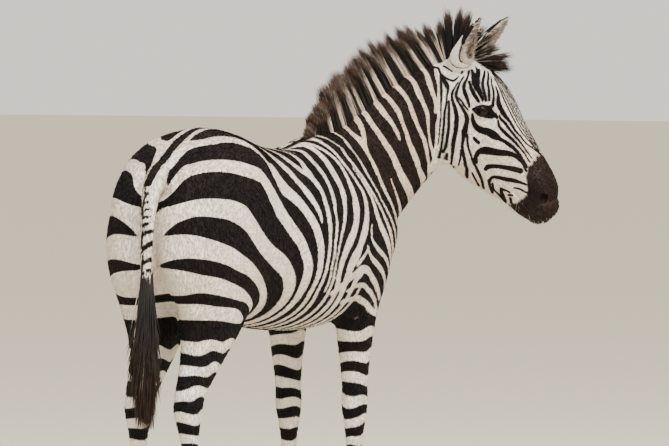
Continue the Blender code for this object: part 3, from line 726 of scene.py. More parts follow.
# %% The head's chart
BROW, BROW_R = -0.045, 0.06  # where the cheek rounds into the forehead, and its radius


def head_chart(points):
    """The face rolled flat: length from the poll to the nose, and height."""
    along, left, up = to_head(points).T
    rolled = BROW + BROW_R * np.arctan2(up - BROW, np.abs(left))
    rise = np.where(up <= BROW, up, rolled)
    wander = np.clip(left / 0.02, 0, 1) * 0.0022
    return np.stack([along + wander * np.sin(40 * along + 30 * up), rise + wander * np.cos(46 * along)], 1)


print("neck's path ends at", [round(float(row[-1]), 3) for row in CHART_PATH])

# %% [markdown]
# ## Stripes of the body
# The dark ground carries pale ribbons. Each is a row of places along its middle line, in
# centimetres: length forward, height and width. Broad ones bend over the rump and come down into
# the flank, where they fork and narrow; the barrel's stand upright; the neck's lean forward.

# %% Pale stripes of rump and flank
RUMP_STRIPES = [
    [(-72, 128, 3), (-71, 136, 4), (-66, 138, 4), (-55, 138.5, 3), (-40, 138.5, 2), (-28, 138, 1)],
    [(-70, 136, 4.5), (-62, 136, 4), (-53, 134, 4), (-45, 131.5, 4.5), (-38, 129, 4), (-32, 125.5, 3.5),
     (-28, 121, 1.5), (-26.5, 118.5, 1.5), (-25, 117, 3.5), (-23, 115.5, 6), (-20.5, 112.5, 6.5),
     (-17, 110, 5), (-13, 107, 4), (-10, 103.5, 3.5), (-7.5, 100, 3.5), (-6, 96.5, 3.3), (-5, 93, 3),
     (-4.5, 89, 2.5), (-4, 85, 2.2), (-4, 80, 1.8), (-3, 74, 1.8), (-3, 64, 2.6)],
    [(-70, 124, 9), (-66, 126, 7.5), (-62, 125, 5), (-58, 123.5, 4.8), (-50, 120.5, 4.5), (-44, 118, 4.5),
     (-39, 116, 4.3), (-35, 114.5, 4.3), (-32, 111.5, 4.3), (-29, 108.5, 4.8), (-25, 105, 5),
     (-20.5, 101.5, 4.2), (-17, 98, 3.8), (-14, 95, 3.5), (-12, 92, 3.3), (-10, 89, 3.2), (-9, 86, 3.5),
     (-8.5, 82, 3.5), (-8, 77, 2.6), (-8, 72, 2.4), (-8, 64, 2.6)],
    [(-75, 98, 8), (-72, 101, 7), (-68, 104, 6), (-64, 106, 6.2), (-60, 106.7, 6.2), (-54, 106, 6),
     (-50, 105.2, 6), (-46, 103.7, 6), (-42, 101, 5), (-38, 98, 5), (-33, 95, 5), (-27, 92, 4.8),
     (-21, 89, 4.8), (-17, 86, 4), (-14, 82, 3.8), (-12.5, 77, 3.4), (-12.5, 72, 3.2), (-13, 64, 3.2)],
    [(-74, 93, 8), (-68, 94.5, 7), (-64, 95, 6.8), (-60, 94.5, 6.2), (-54, 93, 5.5), (-49, 91.5, 5.2),
     (-45, 90, 4.8), (-39, 88, 4), (-33, 85.5, 3.5), (-28, 83, 3), (-22, 79, 2.4), (-18, 73, 2.4),
     (-17.5, 64, 2.8)],
    [(-74, 85, 8), (-66, 84.5, 7.5), (-60, 84.2, 5.2), (-54, 83.3, 4.8), (-48, 82, 4.2), (-42, 80.7, 3.6),
     (-36, 79, 2.5), (-28, 75.5, 2), (-23, 71, 2.2), (-22, 64, 2.6)],
    [(-73, 76, 5), (-66, 76, 4.6), (-60, 76, 4.6), (-54, 75.5, 4), (-48, 75, 4), (-42, 74.3, 4),
     (-37, 73, 2)],
]

# %% Pale stripes of the barrel
BARREL_STRIPES = [
    [(-17, 130, 0.8), (-14, 127, 2), (-13, 124, 3.5), (-11.5, 121, 3.8), (-9.5, 117, 3.7), (-8.5, 113.5, 3),
     (-6, 109, 3.3), (-4.5, 106, 2.6), (-3.5, 103, 2), (-3.5, 100.5, 1)],
    [(-8, 133, 1), (-3, 127.5, 3), (-2.5, 124, 3.5), (-2, 121, 3.6), (-0.5, 117.5, 3.2), (1.5, 115.5, 3)],
    [(6, 136, 1), (9, 130, 2), (8.5, 127, 2.6), (7, 123, 2.4), (5, 120, 2.6), (3.5, 117, 4),
     (2.5, 115, 4.2), (3, 112, 3.4), (3, 109, 2.4), (2, 106, 2.3), (1.3, 103, 2.3), (0.7, 100, 2.1),
     (0, 97, 1.6), (-0.5, 94, 1.4), (-1, 90, 1.4), (-1, 86, 1.4), (-1, 80, 1.4), (0.5, 74, 1.8),
     (1, 64, 2.6)],
    [(4, 137, 1), (10, 134, 1), (14, 131, 0.6)],
    [(14, 140, 1.2), (18, 136, 1.8), (20, 133, 2.1), (18.5, 128.5, 2.4), (16, 124, 2.6), (14, 118, 3),
     (12, 113, 2.1), (10, 109, 2.2), (8, 106, 1.8), (6, 103, 1.3), (5, 100, 1.3), (3.5, 97, 1.4),
     (2.3, 94, 1.2), (1.8, 91, 1.1), (1.5, 87, 1), (2.5, 80, 1)],
    [(18, 140, 1.5), (24, 137, 2.4), (26, 134, 3), (26, 129, 2.6), (25, 123, 3.6), (23, 118, 4.4),
     (21, 113, 4.4), (19, 109, 3.6), (16, 106, 2.5), (13, 103, 1.7), (10, 100, 1.4), (7, 97, 1.2),
     (5, 94, 1), (3.8, 91, 0.9), (3.5, 86, 0.9), (4.5, 80, 1.3), (5.5, 73, 2), (6, 64, 2.8)],
    [(23, 139, 1.8), (27, 134, 1.8), (29, 129, 1.6), (30.5, 123, 1.2), (31, 117, 1.4), (30.5, 112.5, 2.4),
     (29.5, 109, 4), (27.5, 105.5, 4.3), (24, 103, 4.2), (20, 100, 3.2), (15.5, 97, 3), (11, 94, 3.2),
     (8, 91, 2.9), (6.5, 88, 2.6), (6.5, 84, 2.2), (8.5, 79, 2.2), (10, 72, 2.4), (10.5, 64, 2.8)],
    [(28, 136, 1.5), (33, 129.5, 2), (33, 124, 1.2), (33, 119, 1), (34, 115, 1.1), (35.5, 111, 1.2),
     (37, 108, 1.8), (36.8, 105, 2.5), (34.8, 102, 2.8), (31, 99, 3.3), (26, 96.5, 3.6), (21, 94, 3.2),
     (17, 91, 3.8), (13, 88, 4.2), (11.5, 84, 3.4), (12.5, 78, 2.6), (14.5, 72, 2.6), (15, 64, 3)],
    [(22, 84.9, 2.5), (18, 82.5, 2.8), (18, 77, 2.6), (19.5, 71, 2.8), (20, 64, 3)],
    [(24, 79, 2.4), (23.5, 74, 2.6), (25, 64, 3)],
]

# %% Pale stripes of the shoulder
SHOULDER_STRIPES = [
    [(36, 116, 0.5), (38, 112.5, 0.7), (40, 109.5, 1), (41.5, 106.5, 1.4), (42, 103.5, 1.9),
     (42, 100.5, 2.5), (43, 97.5, 3), (45, 95, 3.2), (47.5, 92.5, 3.4), (50, 89.5, 3), (54, 86, 2.5),
     (58, 83.8, 2.2), (62, 82.4, 2), (67, 81.4, 1.6)],
    [(33, 133, 1), (37, 127, 1), (38, 123, 1), (36.5, 119.5, 1.2), (38.5, 114.5, 1.1), (41, 111, 1.4),
     (43, 108, 1.2), (44.5, 105, 1.2), (46, 102, 1.3), (47.5, 99, 1.6), (50, 96, 2.2), (53, 92.5, 2.6),
     (57, 89, 2.6), (61, 87.2, 2.4), (66, 85.8, 2.2), (72, 85, 2)],
    [(46, 127, 1), (48, 123.5, 1.6), (46, 120.5, 2.5), (45, 117, 3), (45, 114, 2.6), (46, 111, 1.4),
     (47, 108, 1), (48, 105, 0.9), (50, 102, 1.2), (52.5, 99, 1.4), (56, 96, 1.6), (60, 92.5, 2),
     (64, 90.6, 2.3), (69, 89.3, 2.4), (76, 88.8, 2)],
    [(36.2, 98.2, 0.9), (34.4, 96.2, 1.3), (34, 94, 1.5), (38, 91.2, 1.6), (44, 88.4, 1.6), (50, 84.8, 1.7),
     (54, 81.8, 1.8), (58, 79.8, 1.8), (64, 78.6, 1.6)],
    [(27, 92.3, 1), (30, 89.4, 1.7), (37, 86.8, 1.8), (43, 83.8, 1.7), (48, 80.4, 1.6), (52, 78.2, 1.6),
     (55, 76.8, 1.6), (60, 75.8, 1.4)],
    [(27.5, 91.6, 1.2), (22, 89.4, 1.3), (17, 87.4, 1.4)],
    [(7, 79.5, 2), (12, 82.5, 2.2), (17, 84.8, 2.3), (22, 85.8, 2.4), (29, 84.8, 2.2), (36, 82.3, 2),
     (41, 79.4, 1.8), (46, 76, 1.4)],
    [(15, 79.6, 1), (21, 81, 1.3), (29, 80.5, 1.3), (36, 78.8, 1.3), (41, 76.3, 1.2), (46, 72.5, 1.2)],
    [(16, 76.4, 1.4), (26, 77, 1.6), (35, 75.8, 1.6), (41, 73.2, 1.4), (47, 69, 1.6)],
]

# %% Pale stripes of the neck
NECK_STRIPES = [
    [(55, 125, 1.5), (57, 122, 2.9), (57, 119, 2.3), (57.5, 116, 2.4), (57, 114, 3.2), (55, 111, 3.2),
     (53.5, 108, 3.2), (55, 105, 2.2), (58, 101, 2.6), (62, 97.5, 2.6), (67, 94, 3),
     (71, 92.9, 2.6), (80, 92.2, 2.2)],
    [(69, 98, 0.6), (72, 96.9, 1.5), (76, 96.1, 1.9), (83, 95.7, 1.8)],
    [(52, 131, 1.5), (54, 129, 1.8), (55, 125, 1.4)],
    [(61, 131, 2), (60.5, 127.5, 2), (59.5, 124.5, 1.7), (58, 122, 1.5)],
    [(63, 136, 1), (65, 132, 1.6), (65, 128, 2.4), (66, 125, 2.5), (67.3, 122, 2.7), (69, 119, 2.9),
     (70.3, 116, 3.2), (72, 113, 3.4), (75, 110, 3.5), (79, 107, 3.6), (83, 104.9, 3.2), (90, 103.6, 2.8)],
    [(66, 111, 0.5), (67, 109, 0.9), (69, 106, 1.2), (71, 104, 1.6), (74, 101.5, 2.2), (78, 99.6, 2.6),
     (87, 99, 2.2)],
    [(70, 139, 1.2), (71, 135, 1.6), (71.5, 131, 2.4), (73, 128, 1.6), (74, 125, 1.6), (74.5, 123, 0.9)],
    [(74, 140, 2), (75, 137, 2), (76, 134, 2), (77, 131, 2), (77.3, 128, 1.4), (78, 125, 1.6),
     (78.5, 122, 2), (80, 119, 2.5), (82, 116, 2.6), (84, 113, 2.2), (88, 110, 3)],
    [(79, 143, 2), (80, 140, 2), (81, 137, 1.8), (82, 134, 1.5), (82.3, 131, 1.8), (83, 128, 1.6),
     (84.3, 125, 1.5), (86, 122, 1.8), (87, 119, 1.7), (88.3, 116, 1.4), (90, 113, 2), (93, 110, 2)],
    [(84, 146, 2), (85, 143, 2), (86, 140, 1.6), (86.3, 137, 1.9), (87, 134, 1.5), (88, 131, 1.5),
     (88, 128, 1.3), (88, 125, 0.9), (88.5, 122, 1.1), (90, 119, 1.5), (92, 116, 1.4), (95, 113, 1.5)],
    [(90, 148, 1.6), (91, 143, 1.4), (91, 140, 1.8), (91.3, 137, 1.5), (92, 134, 1.3), (91.5, 131, 0.9)],
    [(95, 149, 1.5), (95.5, 145, 1.8), (94.5, 142, 1.4), (94, 139, 0.8), (93.5, 136, 1), (93, 133, 1),
     (92.7, 130, 1), (92, 127, 1.5), (91.8, 124, 1.7), (91.5, 121, 1.4), (92, 118, 1.2)],
]
CREST_HEIGHT = 130  # a neck stripe that starts above this comes out of the mane


def carried_up(row, more=5.0):
    """A stripe carried on past its top, so that it runs into the mane without a gap."""
    (x, z, width), (lower_x, lower_z, _) = row[:2]
    return [(x + (x - lower_x) / (z - lower_z) * more, z + more, max(width, 1.6)), *row]


NECK_STRIPES = [carried_up(row) if row[0][1] > CREST_HEIGHT else row for row in NECK_STRIPES]
# Only the neck's left side, on the outside of its bend, reaches as far ahead as these
OUTER_STRIPES = [
    [(99, 147, 1.3), (99.2, 141, 1.8), (98.6, 135, 1.5), (98, 129, 1.4),
     (97.4, 123, 1.6), (97.6, 116, 1)],
    [(103, 147, 1.4), (103.3, 141, 1.6), (102.6, 135, 1.9), (102, 129, 1.4),
     (101.2, 123, 1.5), (101, 114, 1)],
    [(107, 145, 1.3), (107, 139, 1.6), (106.2, 133, 1.5), (105.8, 127, 1.8),
     (105, 120, 1.3), (104.6, 114, 1)],
]
BODY_STRIPES = RUMP_STRIPES + BARREL_STRIPES + SHOULDER_STRIPES + NECK_STRIPES + OUTER_STRIPES
print("pale stripes on each side:", len(BODY_STRIPES))

# %% [markdown]
# ## Stripes of the head
# On the head the ground is pale and the ribbons dark. They fan out from the eye over the cheek,
# run down the face side by side, and gather into the black muzzle.

# %% Dark stripes of the cheek
CHEEK_STRIPES = [
    [(0, -12.1, 1), (1.5, -10.9, 1), (4, -11.3, 0.7), (6.8, -12.4, 0.7), (9.4, -13.8, 0.7),
     (11.9, -15.5, 0.7), (14.5, -17.1, 0.7), (16.9, -18.9, 0.6), (19.3, -20.8, 0.6), (21.2, -22.4, 0.4)],
    [(3.8, -10.7, 0.6), (5.4, -10.9, 0.9), (7.1, -10.9, 1.2), (8.6, -11.3, 0.6), (10, -12.4, 0.4),
     (12, -13.8, 0.4), (13.9, -15.4, 0.5), (16.3, -17.1, 0.5), (18.7, -19, 0.5), (21, -21, 0.4),
     (23.1, -23.1, 0.4), (24.4, -24.7, 0.4)],
    [(11.6, -12.8, 0.4), (13.9, -14.2, 0.6), (16.4, -15.9, 0.6), (18.9, -17.7, 0.6), (20.9, -19.6, 0.6),
     (22.5, -21.3, 0.5), (23.6, -23, 0.4)],
    [(8.1, -7.9, 0.3), (8.9, -9.3, 0.3), (9.8, -10.6, 0.6), (11, -11.6, 0.6), (12.7, -12.2, 0.7),
     (14.8, -12.9, 1), (17, -14, 1.1), (18.9, -15.5, 1.1), (20.7, -17.2, 0.9), (22.4, -19.1, 0.9),
     (24.5, -21.3, 0.7), (26.2, -23.5, 0.6), (27.5, -25.5, 0.6)],
    [(7.6, -5.8, 0.4), (8.2, -7, 0.4), (9.2, -8.3, 0.5), (10.4, -9.7, 0.7), (11.6, -10.6, 0.8),
     (13.6, -11, 0.6), (15.3, -11.1, 0.7), (17, -11.3, 1), (18.8, -11.9, 1.2), (20.4, -13.4, 1.3),
     (21.6, -14.8, 1.6), (23.1, -16.4, 0.9), (24.9, -18.2, 0.8), (27.1, -19.4, 0.9), (29.6, -20.9, 1),
     (32.3, -23.5, 1.2)],
    [(25.4, -19, 0.6), (27.2, -20.8, 0.5), (28.5, -22.7, 0.4)],
    [(22.7, -14.7, 0.6), (24.5, -15.9, 0.6), (26.5, -16.9, 0.6), (28.6, -17.6, 0.6), (30.5, -18.4, 0.7),
     (32.9, -19.1, 0.9), (34.9, -19.5, 0.9), (36.5, -20.1, 0.9), (38, -21, 0.9)],
    [(12.3, -10.2, 0.4), (13.7, -10.1, 0.5), (15.1, -10.2, 0.5), (16.7, -10.1, 0.5)],
    [(4.9, -2.8, 0.5), (7.3, -4.2, 0.5), (8.7, -5.4, 0.6), (9.6, -6.7, 0.9), (10.8, -7.6, 1),
     (12.6, -8.1, 1.1), (14.5, -8.6, 0.9), (16.2, -9.2, 0.6)],
    [(9.7, -5.2, 0.6), (11.5, -5.6, 0.9), (13, -5.8, 1.1), (14.8, -5.9, 1.2), (16.6, -5.8, 0.8)],
    [(4.7, -2.8, 0.5), (6.4, -3, 0.5), (8.9, -3.5, 1.2), (11, -4, 1.6), (13.1, -4.2, 1.3),
     (15.2, -4.3, 0.9), (17.1, -4.6, 0.6)],
    [(32.6, -21.2, 0.6), (34.9, -21.6, 0.7), (36.5, -21.9, 0.8)],
    [(24.2, -22.7, 0.3), (25.3, -24.4, 0.5)],
    [(24.8, -13.6, 0.9), (26.6, -13.3, 1)],
    [(3.2, -10.7, 0.4), (4.8, -10.3, 0.5), (6.2, -9.5, 0.5), (7, -8.8, 0.5), (6.9, -7.6, 0.4),
     (6.7, -6.9, 0.3)],
    [(6.4, -5.8, 0.4), (6.1, -5.1, 0.4), (5.5, -4.3, 0.4)],
    [(1.3, -9.3, 0.4), (2.7, -8.5, 0.4), (4.3, -7.7, 0.4)],
]

# %% Dark stripes of the brow and face
FACE_STRIPES = [
    [(5.3, -2, 0.5), (6.9, -1.4, 0.5), (9.3, -2.6, 0.9), (11.9, -3.5, 0.7)],
    [(7.8, -0.9, 0.7), (10.4, -2.8, 0.6)],
    [(9, 0.6, 0.6), (11.8, -2.3, 0.7), (14.3, -3.2, 0.6), (16.2, -3.6, 0.6), (17.7, -4, 0.5)],
    [(9.6, 1.8, 0.5), (12.6, -1.1, 0.6), (14.8, -2.1, 0.6), (16.8, -2.9, 0.5), (18.2, -3.4, 0.4)],
    [(11.7, 1, 0.4), (13.9, -0.6, 0.4), (16.1, -1.4, 0.5), (18.2, -2.4, 0.5), (19.7, -3.3, 0.6)],
    [(15.3, 0, 0.4), (17.7, -0.8, 0.7), (19.9, -1.9, 1.1), (21.8, -2.2, 1.2), (24.4, -2.2, 1.2),
     (26.7, -1.8, 0.9), (29.5, -1.8, 0.8), (31.7, -1.2, 0.7), (34.6, -0.5, 0.6), (36.9, 1.3, 0.6),
     (40.2, 3.5, 0.5)],
    [(12.5, 1.8, 0.35), (16, 0.9, 0.35), (20, 0.0, 0.45), (26, -0.2, 0.45), (31, 0.2, 0.45), (36, 1.9, 0.45),
     (40, 3.7, 0.35)],
    [(11, 2.8, 0.35), (15, 1.9, 0.35), (19, 1.1, 0.45), (24, 0.9, 0.45), (30, 1.2, 0.45), (36, 2.5, 0.35),
     (40, 3.9, 0.35)],
    [(10, 3.5, 0.35), (15, 2.7, 0.35), (20, 2.0, 0.45), (26, 1.9, 0.45), (33, 2.6, 0.35), (40, 4.1, 0.35)],
    [(9, 4.1, 0.35), (15, 3.4, 0.35), (21, 2.9, 0.35), (28, 2.9, 0.35), (35, 3.5, 0.35), (40, 4.3, 0.25)],
    [(8, 4.6, 0.35), (14, 4.1, 0.35), (21, 3.7, 0.35), (29, 3.8, 0.35), (38, 4.4, 0.25)],
    [(7, 5.0, 0.35), (20, 4.6, 0.35), (30, 4.6, 0.25), (37, 4.9, 0.25)],
    [(23.3, -3.4, 0.3), (24.5, -3.6, 0.6), (26.4, -3.3, 0.8), (28.6, -3.2, 0.8), (31, -2.9, 0.8),
     (33.8, -2.4, 0.7), (36.8, -2.2, 0.6), (39.4, -1.9, 0.5)],
    [(24.5, -4.5, 0.5), (26.2, -5.2, 0.7), (28.2, -5, 1), (30.3, -4.6, 0.9), (32.4, -4.1, 0.9),
     (34.8, -3.8, 0.7), (37.3, -3.5, 0.6), (40, -3.7, 0.5)],
    [(18.7, -9.7, 0.8), (20.3, -10.7, 1.3), (22.3, -11, 1.8), (24.1, -10.2, 2), (25.7, -8.8, 2.3),
     (27.6, -8, 2.3), (29.4, -7.2, 1.1), (31.3, -6.3, 1.2), (33.4, -5.6, 1.1), (35.8, -5.2, 0.9),
     (38.4, -5.2, 0.6), (40.8, -5.3, 0.5)],
    [(30.7, -17.7, 1.2), (29.4, -16.4, 1.2), (28.9, -14.8, 1.5), (29.5, -13.3, 2.3), (30.9, -11.6, 2.2),
     (32.8, -9.5, 1.9), (34.3, -7.7, 1.6), (36, -6.4, 1.3), (37.9, -5.9, 1), (40, -5.9, 0.7),
     (41.7, -6.2, 0.6)],
    [(34.1, -16.6, 1.2), (34, -15.4, 1.3), (35.4, -13.1, 1.2), (37.3, -10.9, 1.3), (39, -9.1, 1.5),
     (40.7, -7.6, 1.6)],
    [(37.6, -17.8, 1), (37.3, -16.3, 0.8), (38.4, -14.7, 1), (40.1, -13.1, 1.2), (41.9, -11.1, 1.2),
     (43.6, -9.6, 0.8), (45.2, -8.4, 0.5)],
    [(37.5, -18, 0.9), (38.4, -18.5, 0.9), (40.7, -19.4, 1)],
    [(38.9, -17.5, 0.7), (40.3, -18.3, 0.6), (41.9, -18.1, 0.6), (43.7, -17.8, 0.8), (45.7, -18, 0.6)],
    [(41.7, -16.1, 0.9), (42.7, -16.7, 1.2), (45.1, -17.5, 1.2)],
    [(41.7, -16.1, 0.7), (43, -15, 0.5), (44.1, -14.3, 0.4)],
    [(44.5, -15.2, 0.6), (45.3, -14.1, 0.5)],
    [(45.7, -15.4, 0.9), (46.8, -15.9, 1)],
    [(43.8, -12.3, 0.3), (45, -11, 0.5), (46.9, -9.9, 0.5), (47.9, -9.2, 0.4)],
]
EYE_SKIN = [
    [(17.6, -8.6, 0.9), (18.7, -7.3, 2.6), (20.1, -5.9, 3.8), (21.9, -5.1, 2.3), (22.6, -4.3, 1.2),
     (23.7, -4.2, 0.7)],
    [(19.9, -4, 0.9), (20, -3.5, 0.9)],
]
HEAD_STRIPES = CHEEK_STRIPES + FACE_STRIPES
HEAD_EDGE = np.array([row[:2] for row in CHEEK_STRIPES[0]]) / 100  # where the head's ground begins
MUZZLE_EDGE = [(0.05, 39), (-0.02, 39.6), (-0.05, 41), (-0.07, 42.5), (-0.082, 45), (-0.10, 47.6),
               (-0.13, 48), (-0.16, 46.5), (-0.20, 45)]  # height, and how far along black begins
print("dark stripes on each side of the head:", len(HEAD_STRIPES) + len(EYE_SKIN))

# %% [markdown]
# ## From stripes to a mark at each point
# A mark is the depth inside black, in metres: zero on a stripe's edge, and below zero on white.
# A number that changes evenly keeps an edge sharp wherever it is cut, even on a coarse mesh. The
# legs' rings and the bars of the tail follow simple rules, so those are waves of the height.

# %% Depth inside stripes
def ribbons(chart, rows, broader=0.0, reach=0.006):
    """Depth inside the nearest of some stripes: half its width less the distance to its line."""
    depth = np.full(len(chart), -0.05)
    for row in rows:
        line = smooth_rows(np.array(row, float) / 100, 4 * len(row))
        low, high = line[:, :2].min(0) - 0.06, line[:, :2].max(0) + 0.06
        near = np.flatnonzero(np.all((chart > low) & (chart < high), axis=1))
        here = chart[near]
        best = np.full(len(near), -0.05)
        for a, b in zip(line, line[1:]):
            step = b[:2] - a[:2]
            t = np.clip((here - a[:2]) @ step / max(step @ step, 1e-9), 0, 1)
            gap = here - a[:2] - t[:, None] * step
            best = np.maximum(best, (a[2] + (b[2] - a[2]) * t) / 2 - np.hypot(gap[:, 0], gap[:, 1]))
        depth[near] = -blend(-depth[near], -best - broader, reach)
    return depth


def soft(value, low, high):
    """A smooth step from 0 at the low value to 1 at the high one."""
    t = np.clip((value - low) / (high - low), 0, 1)
    return t * t * (3 - 2 * t)


def wave(turns):
    """A triangle wave: 1 at whole turns, -1 half way between."""
    return 4 * np.abs(turns - np.floor(turns) - 0.5) - 1


# %% The mark
RINGS_END = {"fore": (0.70, 0.745), "hind": (0.675, 0.720)}  # the side's chart takes over from here


def leg_mark(points):
    """Rings round the legs: wide on the thigh, close on the cannon, black above the hoof."""
    x, y, z = points.T
    tilt = 0.10 * np.sin(3 * x + 5) * np.where(y > 0, 1, -1) * (x + 0.1)
    height = z + tilt * 0.2 + 0.006 * np.sin(60 * x + 25 * z) + 0.004 * np.sin(47 * y + 31 * z)
    turns = 13.5 * np.sqrt(np.clip(height, 0.01, 1) + 0.18) * 1.9
    width = 0.115 * np.sqrt(np.clip(height, 0.01, 1) + 0.18) / 4.2
    mark = (wave(turns + np.where(y > 0, 0.3, 0)) * width * 0.42) + 0.0005
    foot = np.maximum(0.112 - z, np.minimum(0.175 - z, z - 0.128))
    return np.maximum(mark, foot)


def tail_mark(points):
    """Bars across the tail's dock with a dark line down its back."""
    y, z = points[:, 1], points[:, 2]
    across = y + 0.012 * soft(1.15 - z, 0, 0.12)
    bars = wave(z * 36 + 16 * across + 0.5 * np.sin(30 * z)) * 0.0065 - 0.0012
    bars = np.minimum(bars, 0.016 - np.abs(across + 0.004) - 0.010 * soft(z, 1.00, 1.10))
    line = 0.0042 - np.abs(across - 0.007 + 0.003 * np.sin(70 * z))
    edge = 0.0030 - np.abs(across - 0.018) + 0.001 * np.sin(90 * z)
    return np.maximum.reduce([bars, line, edge, (0.84 - z) * 0.5])


def body_mark(points):
    """Depth inside black on the body and neck, in metres."""
    x, y, z = points.T
    mark = -ribbons(side_chart(points), BODY_STRIPES)
    back = 0.013 - np.abs(y) + 0.003 * np.sin(24 * x)
    mark = np.where((z > 1.1) & (x < 0.40), np.maximum(mark, back), mark)
    belly = 0.011 + 0.004 * np.sin(21 * x) - np.abs(y) - 2 * np.clip(z - 0.72, 0, 1)
    mark = np.where(np.abs(x) < 0.30, np.maximum(mark, belly), mark)
    fore = np.where(x > 0.28, 1 - soft(z, *RINGS_END["fore"]), 0)
    hind = np.where(x < -0.22, 1 - soft(z, *RINGS_END["hind"]), 0)
    ringed = np.maximum(fore, hind)
    mark = mark + (leg_mark(points) - mark) * ringed
    tail = tail_field(points) < 0.010
    tail &= (x < -0.60) & (z < 1.14) & (z < 1.14 + 0.5 * (x + 0.61))
    return np.where(tail, tail_mark(points), mark)


def head_mark(chart):
    """Depth inside black on the head, and how dark its bare skin is."""
    mark = ribbons(chart, HEAD_STRIPES, 0.0010, 0.002)
    eye = ribbons(chart, EYE_SKIN, 0.0008)
    rise, begins = np.array(sorted(MUZZLE_EDGE)).T
    muzzle = chart[:, 0] - np.interp(chart[:, 1], rise, begins / 100)
    muzzle = muzzle + 0.003 * np.sin(90 * chart[:, 1]) + 0.002 * np.sin(230 * chart[:, 1])
    return np.maximum(mark, eye), muzzle


def on_head(points, chart):
    """Which points belong to the head and not to the neck."""
    along, left, up = to_head(points).T
    edge = np.interp(along, HEAD_EDGE[:, 0], HEAD_EDGE[:, 1])
    near = (along > -0.03) & (np.abs(left) < 0.16) & (up > -0.29)
    return near & (chart[:, 1] > np.where(along > HEAD_EDGE[-1, 0], -1, edge))


def coat_marks(points):
    """Depth inside black, bare dark skin, dust and grey of the hollow ear, at each point."""
    mark = body_mark(points)
    chart = head_chart(points)
    head = on_head(points, chart)
    bare = np.zeros(len(points))
    face, muzzle = head_mark(chart[head])
    mark[head] = face
    bare[head] = soft(muzzle, -0.003, 0.006)
    eye = np.linalg.norm(folded(to_head(points)) - EYE, axis=1)
    ahead, rise, out = eye_place(folded(to_head(points)))
    lid = soft(-almond(ahead, rise), -0.0065, -0.002) * (eye < 0.05) * (out > 0)
    bare = np.maximum(bare, lid)
    along, side, rise = ear_place(points)
    ear = (along > 0.012) & (eye < 0.5) & (np.abs(side) < 0.06) & (np.abs(rise) < 0.06)
    outer, inner = ear_shapes(points)
    ear &= outer < 0.010
    height = along / EAR[-1][0]
    band = np.minimum(height - 0.56 + 0.05 * np.sin(90 * side), 0.91 - height) * 0.18
    rim = 0.0024 - np.abs(inner - 0.0088)
    line = 0.0022 - np.abs(height - 0.16 - 1.6 * side - 4 * side**2) * 0.18
    mark[ear] = np.maximum.reduce([band, np.where(height > 0.22, rim, -0.05), line])[ear]
    grey = np.where(ear & (height < 0.98), 1 - soft(inner, 0.0050, 0.0066), 0)
    mark = np.where(grey > 0.5, -0.004, mark)
    place = side_chart(points)
    neck = soft(place[:, 0], 0.30, 0.62) * (1 - 0.75 * soft(place[:, 0], 0.80, 0.98))
    high, low = soft(points[:, 2], 1.05, 1.26), soft(0.8 - points[:, 2], 0, 0.3)
    dust = 0.24 + 0.46 * neck + 0.25 * high - 0.25 * low
    dust[head] = 0.16 + 0.35 * soft(chart[head, 0], 0.24, 0.40)
    return mark, bare, np.clip(dust, 0, 1), grey


def save_attribute(mesh, name, values):
    """Keeps one number for each point of a mesh."""
    mesh.attributes.new(name, "FLOAT", "POINT").data.foreach_set("value", values.astype(np.float32))


MARK_NAMES = ("mark", "bare", "dust", "grey")
for name, values in zip(MARK_NAMES, coat_marks(skin_points)):
    save_attribute(skin.data, name, values)
    print(name, "from", round(float(values.min()), 3), "to", round(float(values.max()), 3))

# %% [markdown]
# ## Shader maths
# A small class stands for a socket, so that a pattern is written as an expression and each
# operation adds its node. Colours are mixed with Mix nodes.

# %% Shader helpers
class Field:
    """A shader socket that arithmetic works on."""

    def __init__(self, tree, socket):
        self.tree, self.socket = tree, socket

    def node(self, kind, settings=None, output=0, **links):
        """Adds a node: its type, its settings, then the values or links of its sockets."""
        node = self.tree.nodes.new(kind)
        for key, value in (settings or {}).items():
            if key == "stops":
                ramp = node.color_ramp.elements
                while len(ramp) < len(value):
                    ramp.new(0.5)
                for stop, (place, colour) in zip(ramp, value):
                    stop.position, stop.color = place, (*colour, 1)
            else:
                setattr(node, key, value)
        for key, value in links.items():
            key = int(key[1:]) if key[1:].isdigit() else key.replace("_", " ")
            if isinstance(value, Field):
                self.tree.links.new(value.socket, node.inputs[key])
            elif isinstance(value, tuple) and len(node.inputs[key].default_value) == 4:
                node.inputs[key].default_value = (*value[:3], 1)
            else:
                node.inputs[key].default_value = value
        return Field(self.tree, node.outputs[output])

    def maths(self, operation, *values):
        """A Math node on this field and other values."""
        links = {f"_{k}": value for k, value in enumerate((self, *values))}
        return self.node("ShaderNodeMath", {"operation": operation}, **links)

    def __add__(self, other):
        return self.maths("ADD", other)

    __radd__ = __add__

    def __sub__(self, other):
        return self.maths("SUBTRACT", other)

    def __rsub__(self, other):
        return (self * -1) + other

    def __mul__(self, other):
        return self.maths("MULTIPLY", other)

    __rmul__ = __mul__

    def clamp(self):
        """The field kept between 0 and 1."""
        return self.node("ShaderNodeClamp", Value=self)

    def step(self, low, high):
        """A smooth step of the field from the low value to the high one."""
        return self.node("ShaderNodeMapRange", {"interpolation_type": "SMOOTHSTEP"}, _0=self, _1=low, _2=high)

    def mix(self, first, second, kind="MIX"):
        """Colours mixed by this field: the first at 0 and the second at 1."""
        settings = {"data_type": "RGBA", "blend_type": kind}
        return self.node("ShaderNodeMix", settings, 2, _0=self, _6=first, _7=second)


def new_material(name):
    """An empty material: its tree as a field source, and its shader node."""
    material = bpy.data.materials.new(name)
    material.use_nodes = True
    shader = material.node_tree.nodes["Principled BSDF"]
    return material, Field(material.node_tree, None), shader


def attribute(start, name, output="Fac"):
    """A number that the mesh carries at each point."""
    return start.node("ShaderNodeAttribute", {"attribute_name": name}, output)


